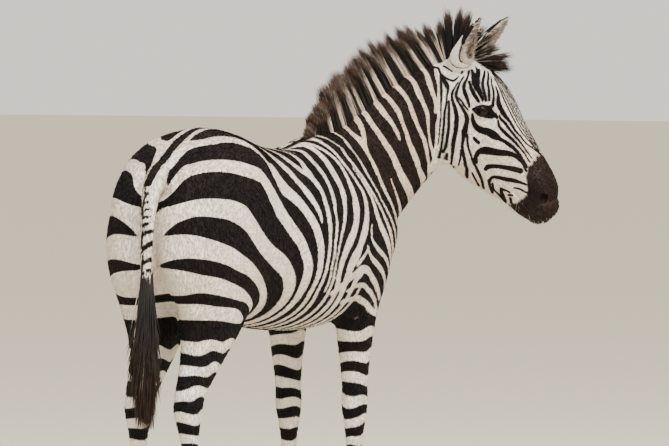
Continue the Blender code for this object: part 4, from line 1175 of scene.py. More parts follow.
def noise(start, place, scale, detail=2.0, distortion=0.0):
    """Noise from 0 to 1 at a place."""
    settings = {"noise_dimensions": "3D"}
    return start.node("ShaderNodeTexNoise", settings, Vector=place, Scale=scale, Detail=detail,
                      Distortion=distortion)


def feed(field, shader, socket):
    """Links a field into one of the shader's sockets."""
    field.tree.links.new(field.socket, shader.inputs[socket])


# %% Colours of the hide
WHITE_HAIR = (0.80, 0.755, 0.70)
DUSTY_HAIR = (0.60, 0.46, 0.355)
BLACK_HAIR = (0.0050, 0.0040, 0.0046)
BROWN_HAIR = (0.045, 0.024, 0.016)
BARE_SKIN = (0.012, 0.0085, 0.0080)
BARE_BROWN = (0.030, 0.018, 0.013)
EAR_GREY = (0.24, 0.20, 0.175)


def hide_colour(start, place, soften, tufts=False):
    """The colour of skin or hair from the marks at a place."""
    mark = attribute(start, "mark")
    if tufts:
        tip, middle = attribute(start, "tip"), attribute(start, "mark_mid")
        end = attribute(start, "mark_end")
        mark = mark + tip * (middle * 4 - mark * 3 - end) + tip * tip * (mark * 2 - middle * 4 + end * 2)
    ragged = (noise(start, place, 260.0, 2.0) - 0.5) * 0.0030
    black = (mark + ragged).step(-soften, soften)
    mottled = noise(start, place, 11.0, 4.0)
    dust = (attribute(start, "dust") + (mottled - 0.5) * 0.55).clamp()
    pale = dust.mix(WHITE_HAIR, DUSTY_HAIR)
    pale = attribute(start, "grey").mix(pale, EAR_GREY)
    dark = (dust * mottled * 0.45).mix(BLACK_HAIR, BROWN_HAIR)
    colour = black.mix(pale, dark)
    bare = mottled.step(0.35, 0.75).mix(BARE_SKIN, BARE_BROWN)
    return attribute(start, "bare").mix(colour, bare)


def hide_material():
    """Skin under the coat: the coat's own markings with short fur as fine relief."""
    material, start, shader = new_material("hide")
    place = start.node("ShaderNodeTexCoord", output=3)
    colour = hide_colour(start, place, 0.0016)
    fine = noise(start, place, 700.0, 3.0)
    feed(colour, shader, "Base Color")
    bump = start.node("ShaderNodeBump", Strength=0.30, Distance=0.001, Height=fine)
    feed(bump, shader, "Normal")
    feed(0.72 - attribute(start, "bare") * 0.24, shader, "Roughness")
    shader.inputs["Specular IOR Level"].default_value = 0.10
    return material


skin.data.materials.append(hide_material())

# %% Camera
CAMERA_TURN = 28.0
CAMERA_FAR, CAMERA_HEIGHT = 22.0, 1.73
LOOK_TURN, LOOK_DOWN = 27.380, 1.909  # where the camera points, in degrees
camera = bpy.data.cameras.new("camera")
camera.sensor_width = 36.0
camera.lens = 403.6
camera.clip_end = 200
turn = math.radians(CAMERA_TURN)
position = np.array([-CAMERA_FAR * math.cos(turn), -CAMERA_FAR * math.sin(turn), CAMERA_HEIGHT])
yaw, pitch = math.radians(LOOK_TURN), math.radians(-LOOK_DOWN)
ahead = np.array([math.cos(yaw) * math.cos(pitch), math.sin(yaw) * math.cos(pitch), math.sin(pitch)])
right = np.array([math.sin(yaw), -math.cos(yaw), 0])
top = np.cross(right, ahead)
view = bpy.data.objects.new("camera", camera)
bpy.context.scene.collection.objects.link(view)
turned = Matrix((right, top, -ahead)).transposed().to_4x4()
view.matrix_world = Matrix.Translation(Vector(position + SHIFT)) @ turned
bpy.context.scene.camera = view

# %% Floor and light
floor_mesh = bpy.data.meshes.new("floor")
floor_mesh.from_pydata([(-60, -60, 0), (60, -60, 0), (60, 60, 0), (-60, 60, 0)], [], [(0, 1, 2, 3)])
floor = bpy.data.objects.new("floor", floor_mesh)
bpy.context.scene.collection.objects.link(floor)
floor_material, _, floor_shader = new_material("floor")
floor_shader.inputs["Base Color"].default_value = (0.80, 0.72, 0.58, 1)
floor_shader.inputs["Roughness"].default_value = 0.9
floor_mesh.materials.append(floor_material)


def softbox(name, place, target, size, power, colour):
    """A square soft light at a place, turned to a target."""
    light = bpy.data.lights.new(name, "AREA")
    light.size, light.energy, light.color = size, power, colour
    lamp = bpy.data.objects.new(name, light)
    bpy.context.scene.collection.objects.link(lamp)
    lamp.location = place
    lamp.rotation_euler = (Vector(target) - Vector(place)).to_track_quat("-Z", "Y").to_euler()
    return lamp


softbox("key", (-3.0, -3.5, 6.5), (0, 0, 0.9), 6.0, 1400, (1.0, 0.97, 0.92))
world = bpy.data.worlds.new("studio")
world.use_nodes = True
world.node_tree.nodes["Background"].inputs["Color"].default_value = (0.96, 0.92, 0.84, 1)
world.node_tree.nodes["Background"].inputs["Strength"].default_value = 1.15
bpy.context.scene.world = world

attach(skin, "root")
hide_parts("trunk", "neck", "head", "tail_dock", "ear_left", "ear_right",
            "foreleg_left", "foreleg_right", "hindleg_left", "hindleg_right")

# %% [markdown]
# ## Unwrap
# The skin is closed, so it has to be cut somewhere to be laid flat. Smart UV Project cuts it
# where its direction turns and packs the pieces. The map is called OFBake; each tuft of the coat
# later borrows a spot of it at its own root, so that coat and skin share one sheet.

# %% Unwrap the skin
def unwrap(obj, angle=62):
    """Cuts and flattens an object's mesh into a UV map called OFBake."""
    obj.data.uv_layers.new(name="OFBake")
    bpy.ops.object.select_all(action="DESELECT")
    bpy.context.view_layer.objects.active = obj
    obj.select_set(True)
    bpy.ops.object.mode_set(mode="EDIT")
    bpy.ops.mesh.select_all(action="SELECT")
    bpy.ops.uv.smart_project(angle_limit=math.radians(angle), island_margin=0.0008)
    bpy.ops.object.mode_set(mode="OBJECT")


unwrap(skin)
skin_map = np.empty(len(skin.data.loops) * 2, np.float32)
skin.data.uv_layers["OFBake"].data.foreach_get("uv", skin_map)
SKIN_UV = skin_map.reshape(-1, 3, 2)  # three corners of each triangle
print("unwrapped triangles:", len(SKIN_UV))

# %% [markdown]
# ## Hair from Geometry Nodes
# Every hair piece is made the same way. A cloud of roots carries, at each root, which way is out,
# which way the hair lies, its length and thickness, and its colour marks. One node tree puts a
# lock on each root, turns it with Axes to Rotation, picks one of a few shapes at random, and makes
# real mesh of it all. Only the clouds and the locks differ between coat, mane and tail.

# %% The node tree for hair
def tree_node(tree, kind, settings=None, **links):
    """Adds a Geometry Nodes node: its type, its settings, then values or links of its sockets."""
    node = tree.nodes.new(kind)
    for key, value in (settings or {}).items():
        setattr(node, key, value)
    for key, value in links.items():
        socket = node.inputs[int(key[1:]) if key[1:].isdigit() else key.replace("_", " ")]
        if isinstance(value, bpy.types.NodeSocket):
            tree.links.new(value, socket)
        else:
            socket.default_value = value
    return node


def named(tree, name, kind="FLOAT"):
    """The value of a named attribute."""
    return tree_node(tree, "GeometryNodeInputNamedAttribute", {"data_type": kind}, Name=name).outputs[0]


def hair_tree():
    """Roots to locks: the tree that every hair piece uses."""
    tree = bpy.data.node_groups.new("hair", "GeometryNodeTree")
    face = tree.interface
    for name, kind in (("Roots", "Geometry"), ("Locks", "Collection"), ("Thickness", "Float"),
                       ("Seed", "Int"), ("Patch", "Float"), ("Finish", "Material")):
        face.new_socket(name, in_out="INPUT", socket_type="NodeSocket" + kind)
    face.new_socket("Hair", in_out="OUTPUT", socket_type="NodeSocketGeometry")
    given = tree.nodes.new("NodeGroupInput").outputs
    points = tree_node(tree, "GeometryNodeMeshToPoints", Mesh=given["Roots"])
    locks = tree_node(tree, "GeometryNodeCollectionInfo", Collection=given["Locks"])
    locks.inputs["Separate Children"].default_value = True
    locks.inputs["Reset Children"].default_value = True
    pick = tree_node(tree, "FunctionNodeRandomValue", {"data_type": "INT"}, Seed=given["Seed"])
    pick.inputs[4].default_value, pick.inputs[5].default_value = 0, 3
    turn = tree_node(tree, "FunctionNodeAxesToRotation", {"primary_axis": "X", "secondary_axis": "Z"},
                     Primary_Axis=named(tree, "lie", "FLOAT_VECTOR"),
                     Secondary_Axis=named(tree, "out", "FLOAT_VECTOR"))
    wide = tree_node(tree, "ShaderNodeMath", {"operation": "MULTIPLY"}, _0=named(tree, "wide"),
                     _1=given["Thickness"])
    size = tree_node(tree, "ShaderNodeCombineXYZ", X=named(tree, "size"), Y=wide.outputs[0],
                     Z=wide.outputs[0])
    placed = tree_node(tree, "GeometryNodeInstanceOnPoints", Points=points.outputs[0],
                       Instance=locks.outputs[0], Instance_Index=pick.outputs[2],
                       Rotation=turn.outputs[0], Scale=size.outputs[0])
    placed.inputs["Pick Instance"].default_value = True
    real = tree_node(tree, "GeometryNodeRealizeInstances", Geometry=placed.outputs[0])
    patch = tree_node(tree, "ShaderNodeVectorMath", {"operation": "SCALE"}, Scale=given["Patch"])
    tree.links.new(named(tree, "patch", "FLOAT_VECTOR"), patch.inputs[0])
    spot = tree_node(tree, "ShaderNodeVectorMath", {"operation": "ADD"}, _0=patch.outputs[0],
                     _1=named(tree, "root_uv", "FLOAT_VECTOR"))
    mapped = tree_node(tree, "GeometryNodeStoreNamedAttribute", {"data_type": "FLOAT2", "domain": "CORNER"},
                       Geometry=real.outputs[0], Name="OFBake", Value=spot.outputs[0])
    done = tree_node(tree, "GeometryNodeSetMaterial", Geometry=mapped.outputs[0], Material=given["Finish"])
    tree.links.new(done.outputs[0], tree.nodes.new("NodeGroupOutput").inputs[0])
    return tree


HAIR = hair_tree()
print("hair tree:", len(HAIR.nodes), "nodes")

# %% Locks
def lock_shape(name, stations, sides, bend, sway):
    """A closed lock of unit length: rows of place, half width and half thickness between two tips."""
    rings, places = [], []
    for place, width, thick in stations:
        turned = np.arange(sides) * 2 * math.pi / sides + math.pi / 2
        lift = bend * place**2
        swing = sway * math.sin(place * math.pi * 1.5) * place
        rings += [(place, swing + width * math.cos(a), lift + thick * math.sin(a)) for a in turned]
        places += [place] * sides
    count = len(stations)
    root, tip = len(rings), len(rings) + 1
    rings += [(-0.01, 0, 0), (1.0, sway * math.sin(math.pi * 1.5), bend)]
    places += [0.0, 1.0]
    faces = []
    for k in range(sides):
        n = (k + 1) % sides
        faces.append((root, n, k))
        for r in range(count - 1):
            a, b, c, d = r * sides + k, r * sides + n, (r + 1) * sides + n, (r + 1) * sides + k
            faces += [(a, b, c), (a, c, d)]
        faces.append(((count - 1) * sides + k, (count - 1) * sides + n, tip))
    lock = object_from(name, rings, faces)
    save_attribute(lock.data, "tip", np.array(places))
    spots = np.stack([np.array(places) - 0.5, np.array([p[1] for p in rings]) * 4, np.zeros(len(rings))], 1)
    lock.data.attributes.new("patch", "FLOAT_VECTOR", "POINT").data.foreach_set(
        "vector", np.clip(spots, -0.5, 0.5).astype(np.float32).ravel())
    return lock


def lock_set(name, stations, sides, bends):
    """A hidden collection of locks that differ in their bend and sway."""
    group = bpy.data.collections.new(name)
    for k, (bend, sway) in enumerate(bends):
        lock = lock_shape(f"{name}_{k}", stations, sides, bend, sway)
        bpy.context.scene.collection.objects.unlink(lock)
        group.objects.link(lock)
    return group


# %% Growing a piece
def grow(name, cloud, locks, thickness, seed, finish):
    """A piece of hair: the cloud's roots with a lock on each, as one plain mesh."""
    mesh = bpy.data.meshes.new(name + "_roots")
    mesh.from_pydata((cloud["place"] + SHIFT).tolist(), [], [])
    for key, values in cloud.items():
        if key == "place":
            continue
        if values.ndim == 1:
            save_attribute(mesh, key, values)
        else:
            spread = np.zeros((len(values), 3), np.float32)
            spread[:, : values.shape[1]] = values
            mesh.attributes.new(key, "FLOAT_VECTOR", "POINT").data.foreach_set("vector", spread.ravel())
    roots = bpy.data.objects.new(name + "_roots", mesh)
    bpy.context.scene.collection.objects.link(roots)
    modifier = roots.modifiers.new("hair", "NODES")
    modifier.node_group = HAIR
    values = {"Locks": locks, "Thickness": thickness, "Seed": seed, "Patch": 0.003, "Finish": finish}
    for item in HAIR.interface.items_tree:
        if item.name in values:
            modifier[item.identifier] = values[item.name]
    bpy.context.view_layer.update()
    graph = bpy.context.evaluated_depsgraph_get()
    made = bpy.data.meshes.new_from_object(roots.evaluated_get(graph), depsgraph=graph)
    bpy.data.objects.remove(roots)
    for key in ("out", "lie", "size", "wide", "patch", "root_uv"):
        if key in made.attributes:
            made.attributes.remove(made.attributes[key])
    made.shade_smooth()
    made.name = name
    piece = bpy.data.objects.new(name, made)
    bpy.context.scene.collection.objects.link(piece)
    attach(piece, "root")
    print(name, len(cloud["place"]), "locks,", len(made.polygons), "faces")
    return piece

# %% [markdown]
# ## Mane and forelock
# A zebra's mane stands up like a brush, because its hairs are stiff and all of one length. The
# neck's stripes run on into it, pale to about half its height, and the tips are brown, lightened to
# orange at the very end by painted backlight. The locks lean together in spikes. Near the poll the
# brush shortens, and between the ears it turns forward as a dark forelock.

# %% Line of the mane
MANE = [  # along the neck's path: place, hair length, half thickness
    (0.060, 0.030, 0.012),
    (0.120, 0.085, 0.016),
    (0.200, 0.120, 0.019),
    (0.300, 0.142, 0.021),
    (0.400, 0.148, 0.022),
    (0.500, 0.146, 0.022),
    (0.600, 0.140, 0.022),
    (0.660, 0.134, 0.022),
]
FORELOCK = [  # over the head: along, left, height, hair length, lean to the front, half thickness
    (-0.008, -0.006, -0.050, 0.130, -0.70, 0.022),
    (0.016, 0.000, -0.034, 0.118, -0.10, 0.022),
    (0.034, 0.000, -0.027, 0.114, 0.30, 0.021),
    (0.048, 0.000, -0.022, 0.110, 0.65, 0.018),
    (0.058, 0.000, -0.019, 0.090, 0.95, 0.012),
]
HAIR_STEPS = 26
MANE_ENDS = 17  # the station where the mane ends and the forelock starts


def crest(place):
    """The top of the neck at a place along its path: point, direction out, direction to the side."""
    rows = smooth_rows(neck_rows(), 90)
    stations = smooth_rows([[row[0]] for row in NECK], 90)[:, 0]
    at, behind, ahead = (
        np.array([np.interp(s, stations, column) for column in rows.T])
        for s in (place, place - 0.03, place + 0.03)
    )
    axis = unit(ahead[:3] - behind[:3])
    side = unit(np.cross(UP, axis))
    rise = np.cross(axis, side)
    return at[:3] + rise * at[4], rise, side


def ridge_stations():
    """The ridge of hair from the withers to the forehead: root, out, side, length, half."""
    rows = [(*p, *rise, *side, *rest) for s, *rest in MANE for p, rise, side in [crest(s)]]
    for along, left, height, length, lean, half in FORELOCK:
        rise = HEAD_TURN.T @ unit([lean, 0.0, 1.0])
        rows.append((*from_head((along, left, height)), *rise, *HEAD_LEFT, length, half))
    return smooth_rows(rows, HAIR_STEPS)


RIDGE = ridge_stations()
print("ridge of hair:", len(RIDGE), "stations")

# %% Roots of the mane
def normed(vectors):
    """Rows at length 1."""
    return vectors / np.maximum(np.linalg.norm(vectors, axis=1, keepdims=True), 1e-9)


def ridge_cloud(first, last, count, seed, rake, spikes, spread):
    """Roots along part of the ridge, their hair drawn into spikes and raked back."""
    rng = np.random.default_rng(seed)
    at = first + (last - first) * (np.arange(count) + rng.random(count)) / count
    rows = np.stack([np.interp(at, np.arange(HAIR_STEPS), column) for column in RIDGE.T], 1)
    root, rise, side = rows[:, :3], normed(rows[:, 3:6]), normed(rows[:, 6:9])
    length, half = rows[:, 9], rows[:, 10]
    axis = normed(np.cross(side, rise))
    across = np.clip(rng.normal(0, 0.5, count), -1, 1)
    shared = np.random.default_rng(40)
    evenly = (np.arange(spikes) + 0.2 + 0.6 * shared.random(spikes)) / spikes
    centres = first + (last - first) * evenly
    tall = 0.88 + 0.34 * shared.random(spikes)
    near = np.abs(at[:, None] - centres[None, :]).argmin(1)
    step = np.linalg.norm(np.diff(RIDGE[:, :3], axis=0), axis=1).mean()
    gather = np.clip((centres[near] - at) * step, -0.03, 0.03) * 0.95
    grown = length * tall[near] * (1 - 0.10 * np.abs(across)) * (0.80 + 0.22 * rng.random(count))
    grown *= 1 - 20.0 * np.abs(gather)
    lean = gather / np.maximum(length, 0.04) + rake + rng.normal(0, spread, count)
    tilt = across * 0.13 + rng.normal(0, spread * 0.8, count)
    out = normed(rise + axis * lean[:, None] + side * tilt[:, None])
    place = root + side * (across * half)[:, None] * 0.8 - rise * (0.010 + 0.012 * np.abs(across))[:, None]
    return {
        "place": place, "lie": out, "out": normed(-axis + rng.normal(0, 0.4, (count, 3))),
        "size": grown + 0.014, "wide": 0.75 + 0.5 * rng.random(count),
    }, at, rise


def mane_roots(seed):
    """Half of the mane's roots, marked by the neck's stripes where they leave the skin."""
    cloud, at, rise = ridge_cloud(0.0, MANE_ENDS, 5600, seed, -0.12, 42, 0.020)
    mark = -ribbons(side_chart(cloud["place"] + rise * 0.024), BODY_STRIPES)
    cloud["mark"] = mark + np.random.default_rng(seed).normal(0, 0.0025, len(mark))
    cloud["root_uv"] = np.stack([at / 30, at % 1], 1)
    print("roots in black:", round(float((mark > 0).mean()), 2))
    return cloud


# %% Material of the long hair
def hair_material(name, brown_from, tip_brown_and_backlight, base=(0.012, 0.009, 0.009)):
    """Long hair: pale or black by its root's mark, near black towards the tip, and brown at the very end,
    lightened to orange as painted backlight.
    """
    material, start, shader = new_material(name)
    place = start.node("ShaderNodeTexCoord", output=3)
    tip = attribute(start, "tip")
    varied = noise(start, place, 60.0, 2.0)
    black = attribute(start, "mark").step(-0.003, 0.003)
    pale = varied.mix((0.78, 0.72, 0.65), (0.50, 0.38, 0.27))
    body = black.mix(pale, base)
    high = tip + (varied - 0.5) * 0.30
    smoked = high.step(brown_from - 0.30, brown_from + 0.04) * 0.9
    body = smoked.mix(body, (0.022, 0.013, 0.009))
    # The very tips: the brown the hair really has, made lighter and more orange by painted backlight.
    brown = varied.mix((0.230, 0.085, 0.024), (0.060, 0.026, 0.012))
    brown_and_backlit_tip = high.step(brown_from, brown_from + 0.26) * tip_brown_and_backlight
    feed(brown_and_backlit_tip.mix(body, brown), shader, "Base Color")
    feed(0.48 + varied * 0.2, shader, "Roughness")
    shader.inputs["Specular IOR Level"].default_value = 0.25
    return material


MANE_FINISH = hair_material("mane_hair", 0.84, 0.9)
LONG_LOCK = [(0.02, 0.0013, 0.0008), (0.30, 0.0016, 0.0009), (0.58, 0.0012, 0.0007), (0.82, 0.0005, 0.0003)]
BENDS = [(0.002, 0.002), (-0.003, -0.001), (0.005, 0.001), (-0.001, 0.002)]
mane_locks = lock_set("mane_lock", LONG_LOCK, 3, BENDS)
for number in (1, 2):
    mane = grow(f"mane_hair_{number}", mane_roots(10 + number), mane_locks, 1.0, number, MANE_FINISH)
    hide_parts("mane")

# %% Forelock
fore_cloud, fore_at, _ = ridge_cloud(MANE_ENDS, HAIR_STEPS - 1, 1500, 12, 0.06, 8, 0.05)
pale_locks = np.random.default_rng(6).random(len(fore_at)) < 0.10
fore_cloud["mark"] = np.full(len(fore_at), 0.02) - 0.03 * pale_locks
fore_cloud["size"] *= np.interp(fore_at, [MANE_ENDS, MANE_ENDS + 3, HAIR_STEPS - 1], [0.95, 1.05, 1.35])
fore_cloud["root_uv"] = np.stack([fore_at / 30, fore_at % 1], 1)
forelock = grow("forelock_hair", fore_cloud, mane_locks, 1.0, 4, hair_material("forelock_hair", 0.86, 0.6))
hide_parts("forelock")

# %% [markdown]
# ## Coat
# Short fur is thousands of hairs, but at arm's length the eye reads it as small overlapping
# tufts that lie one way. Each tuft here is a closed, flattened, eight-sided lock about as long as
# the hair. Roots are scattered over the skin, thickest on the head. The hair lies back and down
# on the body, down on the legs, and from brow to nose on the face. Each tuft carries the mark at
# its root and the mark at its tip, so a stripe's edge stays crisp across it.

# %% The way the hair lies
def lie_of(points, out):
    """The direction along the skin in which the hair lies."""
    count = len(points)
    along, left, _ = to_head(points).T
    way = np.tile([-0.80, 0.0, -0.60], (count, 1))
    way[:, 2] -= 0.5 * soft(points[:, 0], -0.30, 0.10) * soft(-points[:, 2], -1.15, -0.85)
    neck = soft(neck_chart(points), 0.48, 0.60)[:, None]
    way = way * (1 - neck) + np.array([-0.62, 0.35, -0.72]) * neck
    leg = np.maximum((1 - soft(points[:, 2], 0.62, 0.80)) * (np.abs(points[:, 0] - 0.02) > 0.25), 0)[:, None]
    way = way * (1 - leg) + np.array([-0.10, 0.0, -1.0]) * leg
    rump = soft(-points[:, 0], 0.50, 0.60)[:, None]
    way = way * (1 - rump) + np.array([-0.15, 0.0, -1.0]) * rump
    head = on_head(points, head_chart(points))[:, None]
    away = HEAD_LEFT[None] * (np.sign(left) * 0.35 * (1 - soft(along, 0.10, 0.25)))[:, None]
    way = np.where(head, HEAD_ALONG[None] * 1.0 - HEAD_UP[None] * 0.18 + away, way)
    ear_along, ear_side, ear_rise = ear_place(points)
    on_ear = (ear_along > 0.02) & (np.abs(ear_side) < 0.06) & (np.abs(ear_rise) < 0.06)
    on_ear &= np.linalg.norm(folded(to_head(points)) - EYE, axis=1) < 0.4
    axis = np.where(left[:, None] < 0, EAR_AXIS * [1, -1, 1], EAR_AXIS) @ HEAD_TURN
    way = np.where(on_ear[:, None], axis, way)
    way = way - out * (way * out).sum(1, keepdims=True)
    return normed(way)


def neck_chart(points):
    """Length forward on the neck, and the trunk's own length behind it."""
    ahead = points[:, 0].copy()
    front = ahead > NECK_START
    ahead[front] = neck_place(points[front])
    return ahead


# %% Roots on the skin
skin.data.calc_loop_triangles()
corners = np.empty(len(skin.data.polygons) * 3, np.int32)
skin.data.loops.foreach_get("vertex_index", corners)
SKIN_FACES = corners.reshape(-1, 3)
middle = skin_points[SKIN_FACES].mean(1)
edges = skin_points[SKIN_FACES]
AREA = np.linalg.norm(np.cross(edges[:, 1] - edges[:, 0], edges[:, 2] - edges[:, 0]), axis=1) / 2
print("skin area:", round(float(AREA.sum()), 2), "square metres")


def hair_length(points):
    """How long the coat's tufts are at each point."""
    head = soft(-np.linalg.norm(folded(to_head(points)) - [0.22, 0.04, -0.10], axis=1), -0.34, -0.26)
    length = 0.0165 - 0.006 * (1 - soft(points[:, 2], 0.10, 0.75))
    length = length + (0.0090 - length) * head
    return length * (1 - 0.45 * soft(to_head(points)[:, 0], 0.36, 0.46) * (head > 0.5))


face_length = hair_length(middle)
WEIGHT = AREA / face_length**1.6


def scatter(count, seed, allowed=None):
    """Random places on the skin: point, direction out and place on the unwrap."""
    rng = np.random.default_rng(seed)
    weight = WEIGHT if allowed is None else WEIGHT * allowed
    pick = rng.choice(len(SKIN_FACES), count, p=weight / weight.sum())
    a, b = rng.random(count), rng.random(count)
    over = a + b > 1
    a[over], b[over] = 1 - a[over], 1 - b[over]
    parts = np.stack([1 - a - b, a, b], 1)[:, :, None]
    place = (skin_points[SKIN_FACES[pick]] * parts).sum(1)
    out = normed((SKIN_OUT[SKIN_FACES[pick]] * parts).sum(1))
    return place, out, (SKIN_UV[pick] * parts).sum(1), rng


def bare_place(points):
    """Where no coat grows: the opening of the lids, the nostrils, the hooves, under the tail."""
    local = folded(to_head(points))
    ahead, rise, _ = eye_place(local)
    lids = (almond(ahead, rise) < 0.0028) & (np.linalg.norm(local - EYE, axis=1) < 0.045)
    nose = mass(local, *NOSTRIL, pitch=34, yaw=18) < 0.005
    mouth = np.interp(local[:, 0], *np.array(MOUTH).T)
    lips = (local[:, 0] > 0.44) & (np.abs(local[:, 2] - mouth) < 0.004)
    return lids | nose | (points[:, 2] < 0.062) | (lips & (np.abs(local[:, 1]) < 0.06))


def coat_cloud(count, seed):
    """Roots, directions and marks for one piece of the coat."""
    place, out, spot, rng = scatter(count, seed)
    keep = ~bare_place(place)
    place, out, spot = place[keep], out[keep], spot[keep]
    count = len(place)
    lie = lie_of(place, out)
    side = np.cross(out, lie)
    length = hair_length(place) * (0.75 + 0.5 * rng.random(count))
    sway = rng.normal(0, 0.13, count)[:, None]
    lift = ((0.0015 + 0.0009 * rng.random(count)) / length)[:, None]
    lie = normed(lie + side * sway + out * lift)
    marks = coat_marks(place)
    half_way, end = (coat_marks(place + lie * length[:, None] * part)[0] for part in (0.5, 1.0))
    cloud = dict(zip(MARK_NAMES, marks))
    cloud.update(place=place - out * 0.0004, out=out, lie=lie, size=length, root_uv=spot, mark_mid=half_way,
                 mark_end=end, wide=(0.45 + 34 * length) * (0.8 + 0.4 * rng.random(count)),
                 tone=rng.random(count))
    return cloud


def coat_material():
    """Tufts: the hide's colours at each tuft's own place, each tuft a little lighter or darker at random, and
    darker at its root as painted shade.
    """
    material, start, shader = new_material("coat")
    place = start.node("ShaderNodeTexCoord", output=3)
    colour = hide_colour(start, place, 0.0013, tufts=True)
    tone = attribute(start, "tone")
    tip = attribute(start, "tip")
    # Painted shade: each tuft is darker at its root, where the tufts over it would shade it. Its tone also
    # varies at random.
    light = tone * 0.20 + 0.84 + tip * 0.08
    shade = start.node("ShaderNodeCombineColor", Red=light, Green=light, Blue=light)
    colour = start.node("ShaderNodeMix", {"data_type": "RGBA", "blend_type": "MULTIPLY"}, 2,
                        _0=1.0, _6=colour, _7=shade)
    feed(colour, shader, "Base Color")
    feed(0.52 + tone * 0.16, shader, "Roughness")
    shader.inputs["Specular IOR Level"].default_value = 0.10
    return material


COAT_FINISH = coat_material()
COAT_PIECES, COAT_TUFTS = ((6, 24500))
TUFT_BENDS = [(0.0004, 0.0), (0.0012, 0.0006), (-0.0004, -0.0006), (0.0008, 0.0)]
tufts = lock_set("tuft", [(0.36, 0.0021, 0.0006)], 4, TUFT_BENDS)
for number in range(COAT_PIECES):
    piece = grow(f"coat_{number + 1}", coat_cloud(COAT_TUFTS, 100 + number), tufts, 1.0, number, COAT_FINISH)

# %% [markdown]
# ## Switch of the tail
# The tail's dock is barred and hairless-looking, and below it hangs a switch of long dark hair,
# coarse and a little wavy. Each lock hangs from the dock towards a place lower down inside the
# switch's own outline, so together they swell and then taper.

# %% Tail
TAIL_SIDE = -0.012  # the tail hangs a little to the right
SWITCH = [  # x, height, half width, half depth
    (-0.675, 0.905, 0.023, 0.021),
    (-0.679, 0.860, 0.029, 0.026),
    (-0.685, 0.780, 0.037, 0.033),
    (-0.689, 0.680, 0.043, 0.037),
    (-0.689, 0.580, 0.041, 0.035),
    (-0.686, 0.490, 0.030, 0.026),
    (-0.680, 0.420, 0.010, 0.009),
]


def switch_cloud(count, seed):
    """Roots round the dock, each lock aimed at a place low in the switch."""
    rng = np.random.default_rng(seed)
    outline = np.array(SWITCH)[::-1].T
    start = 0.79 + 0.085 * rng.random(count) ** 1.3
    turn = rng.random(count) * 2 * math.pi
    reach = np.sqrt(rng.random(count))
    drop = 0.30 + 0.20 * rng.random(count)
    end = np.clip(start - drop * (0.55 + 0.45 * rng.random(count)), 0.425, 0.75)
    middle, width, depth = (np.interp(start, outline[1], column) for column in (outline[0], *outline[2:]))
    radius = 0.014 + 0.003 * rng.random(count)
    root = np.stack([middle + 0.008 + radius * np.cos(turn), TAIL_SIDE + radius * np.sin(turn), start], 1)
    middle, width, depth = (np.interp(end, outline[1], column) for column in (outline[0], *outline[2:]))
    tip = np.stack([middle + depth * reach * np.cos(turn), TAIL_SIDE + width * reach * np.sin(turn), end], 1)
    lie = tip - root
    size = np.linalg.norm(lie, axis=1)
    pale = (rng.random(count) < 0.10) & (start > 0.86)
    return {
        "place": root, "lie": normed(lie), "size": size, "wide": 0.8 + 0.6 * rng.random(count),
        "out": normed(np.stack([np.cos(turn), np.sin(turn), 0 * turn], 1) + rng.normal(0, 0.5, (count, 3))),
        "mark": np.where(pale, -0.01, 0.01), "root_uv": np.stack([turn / 7, start], 1),
    }


WAVY = [(0.02, 0.0016, 0.0012), (0.20, 0.0020, 0.0014), (0.38, 0.0019, 0.0013), (0.56, 0.0016, 0.0011),
        (0.74, 0.0012, 0.0009), (0.90, 0.0007, 0.0005)]
WAVY_BENDS = [(0.012, 0.008), (-0.008, -0.010), (0.016, 0.004), (0.004, -0.006)]
tail_locks = lock_set("tail_lock", WAVY, 3, WAVY_BENDS)
tail_finish = hair_material("tail_hair", 0.88, 0.35)
switch = grow("tail_hair", switch_cloud(1700, 21), tail_locks, 1.0, 7, tail_finish)
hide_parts("tail_tuft")

# %% [markdown]
# ## Eyes
# A zebra's eye is nearly black. The iris is dark brown round a pupil that lies level, and what
# little white there is stays brown too. The clear front bulges a little, which gives the single
# small highlight that makes the eye live. Each ball is a sphere with its front drawn out, and it
# carries its own coordinates across and up, which the colours follow.

# %% Eyeballs
def eyeball(name, side):
    """One eye, its clear front bulging towards where it looks."""
    axes = np.stack([EYE_FORE, EYE_TOP, EYE_OUT]) * [1, side, 1] @ HEAD_TURN
    work = bmesh.new()
    bmesh.ops.create_uvsphere(work, u_segments=48, v_segments=32, radius=1.0)
    mesh = bpy.data.meshes.new(name)
    work.to_mesh(mesh)
    work.free()
    shape = coordinates(mesh)
    angle = np.arccos(np.clip(shape[:, 2], -1, 1))
    bulge = 1 + 0.045 * np.clip(1 - (angle / 0.72) ** 2, 0, 1)
    low, high = (np.array(corner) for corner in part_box("eye_left" if side > 0 else "eye_right"))
    placed = (low + high) / 2 + (shape * bulge[:, None]) @ axes * (EYE_RADIUS - 0.0004)
    mesh.vertices.foreach_set("co", placed.ravel().astype(np.float32))
    save_attribute(mesh, "across", shape[:, 0])
    save_attribute(mesh, "rise", shape[:, 1])
    work = bmesh.new()
    work.from_mesh(mesh)
    bmesh.ops.recalc_face_normals(work, faces=work.faces)
    work.to_mesh(mesh)
    work.free()
    mesh.shade_smooth()
    ball = bpy.data.objects.new(name, mesh)
    bpy.context.scene.collection.objects.link(ball)
    return ball


def eye_material():
    """Level pupil, dark brown iris with fine spokes, darker rim, clear wet coat."""
    material, start, shader = new_material("eye")
    across, rise = attribute(start, "across"), attribute(start, "rise")
    pupil = (across * across * 9.0 + rise * rise * 30.0).step(0.75, 1.10)
    reach = (across * across + rise * rise).maths("SQRT")
    spokes = noise(start, start.node("ShaderNodeCombineXYZ", X=across, Y=rise * 3, Z=0.0), 9.0, 4.0)
    iris = spokes.mix((0.009, 0.005, 0.003), (0.004, 0.0025, 0.002))
    rim = reach.step(0.60, 0.72)
    colour = rim.mix(pupil.mix((0.002, 0.002, 0.003), iris), (0.010, 0.007, 0.006))
    feed(colour, shader, "Base Color")
    shader.inputs["Roughness"].default_value = 0.09
    shader.inputs["Specular IOR Level"].default_value = 0.14
    return material


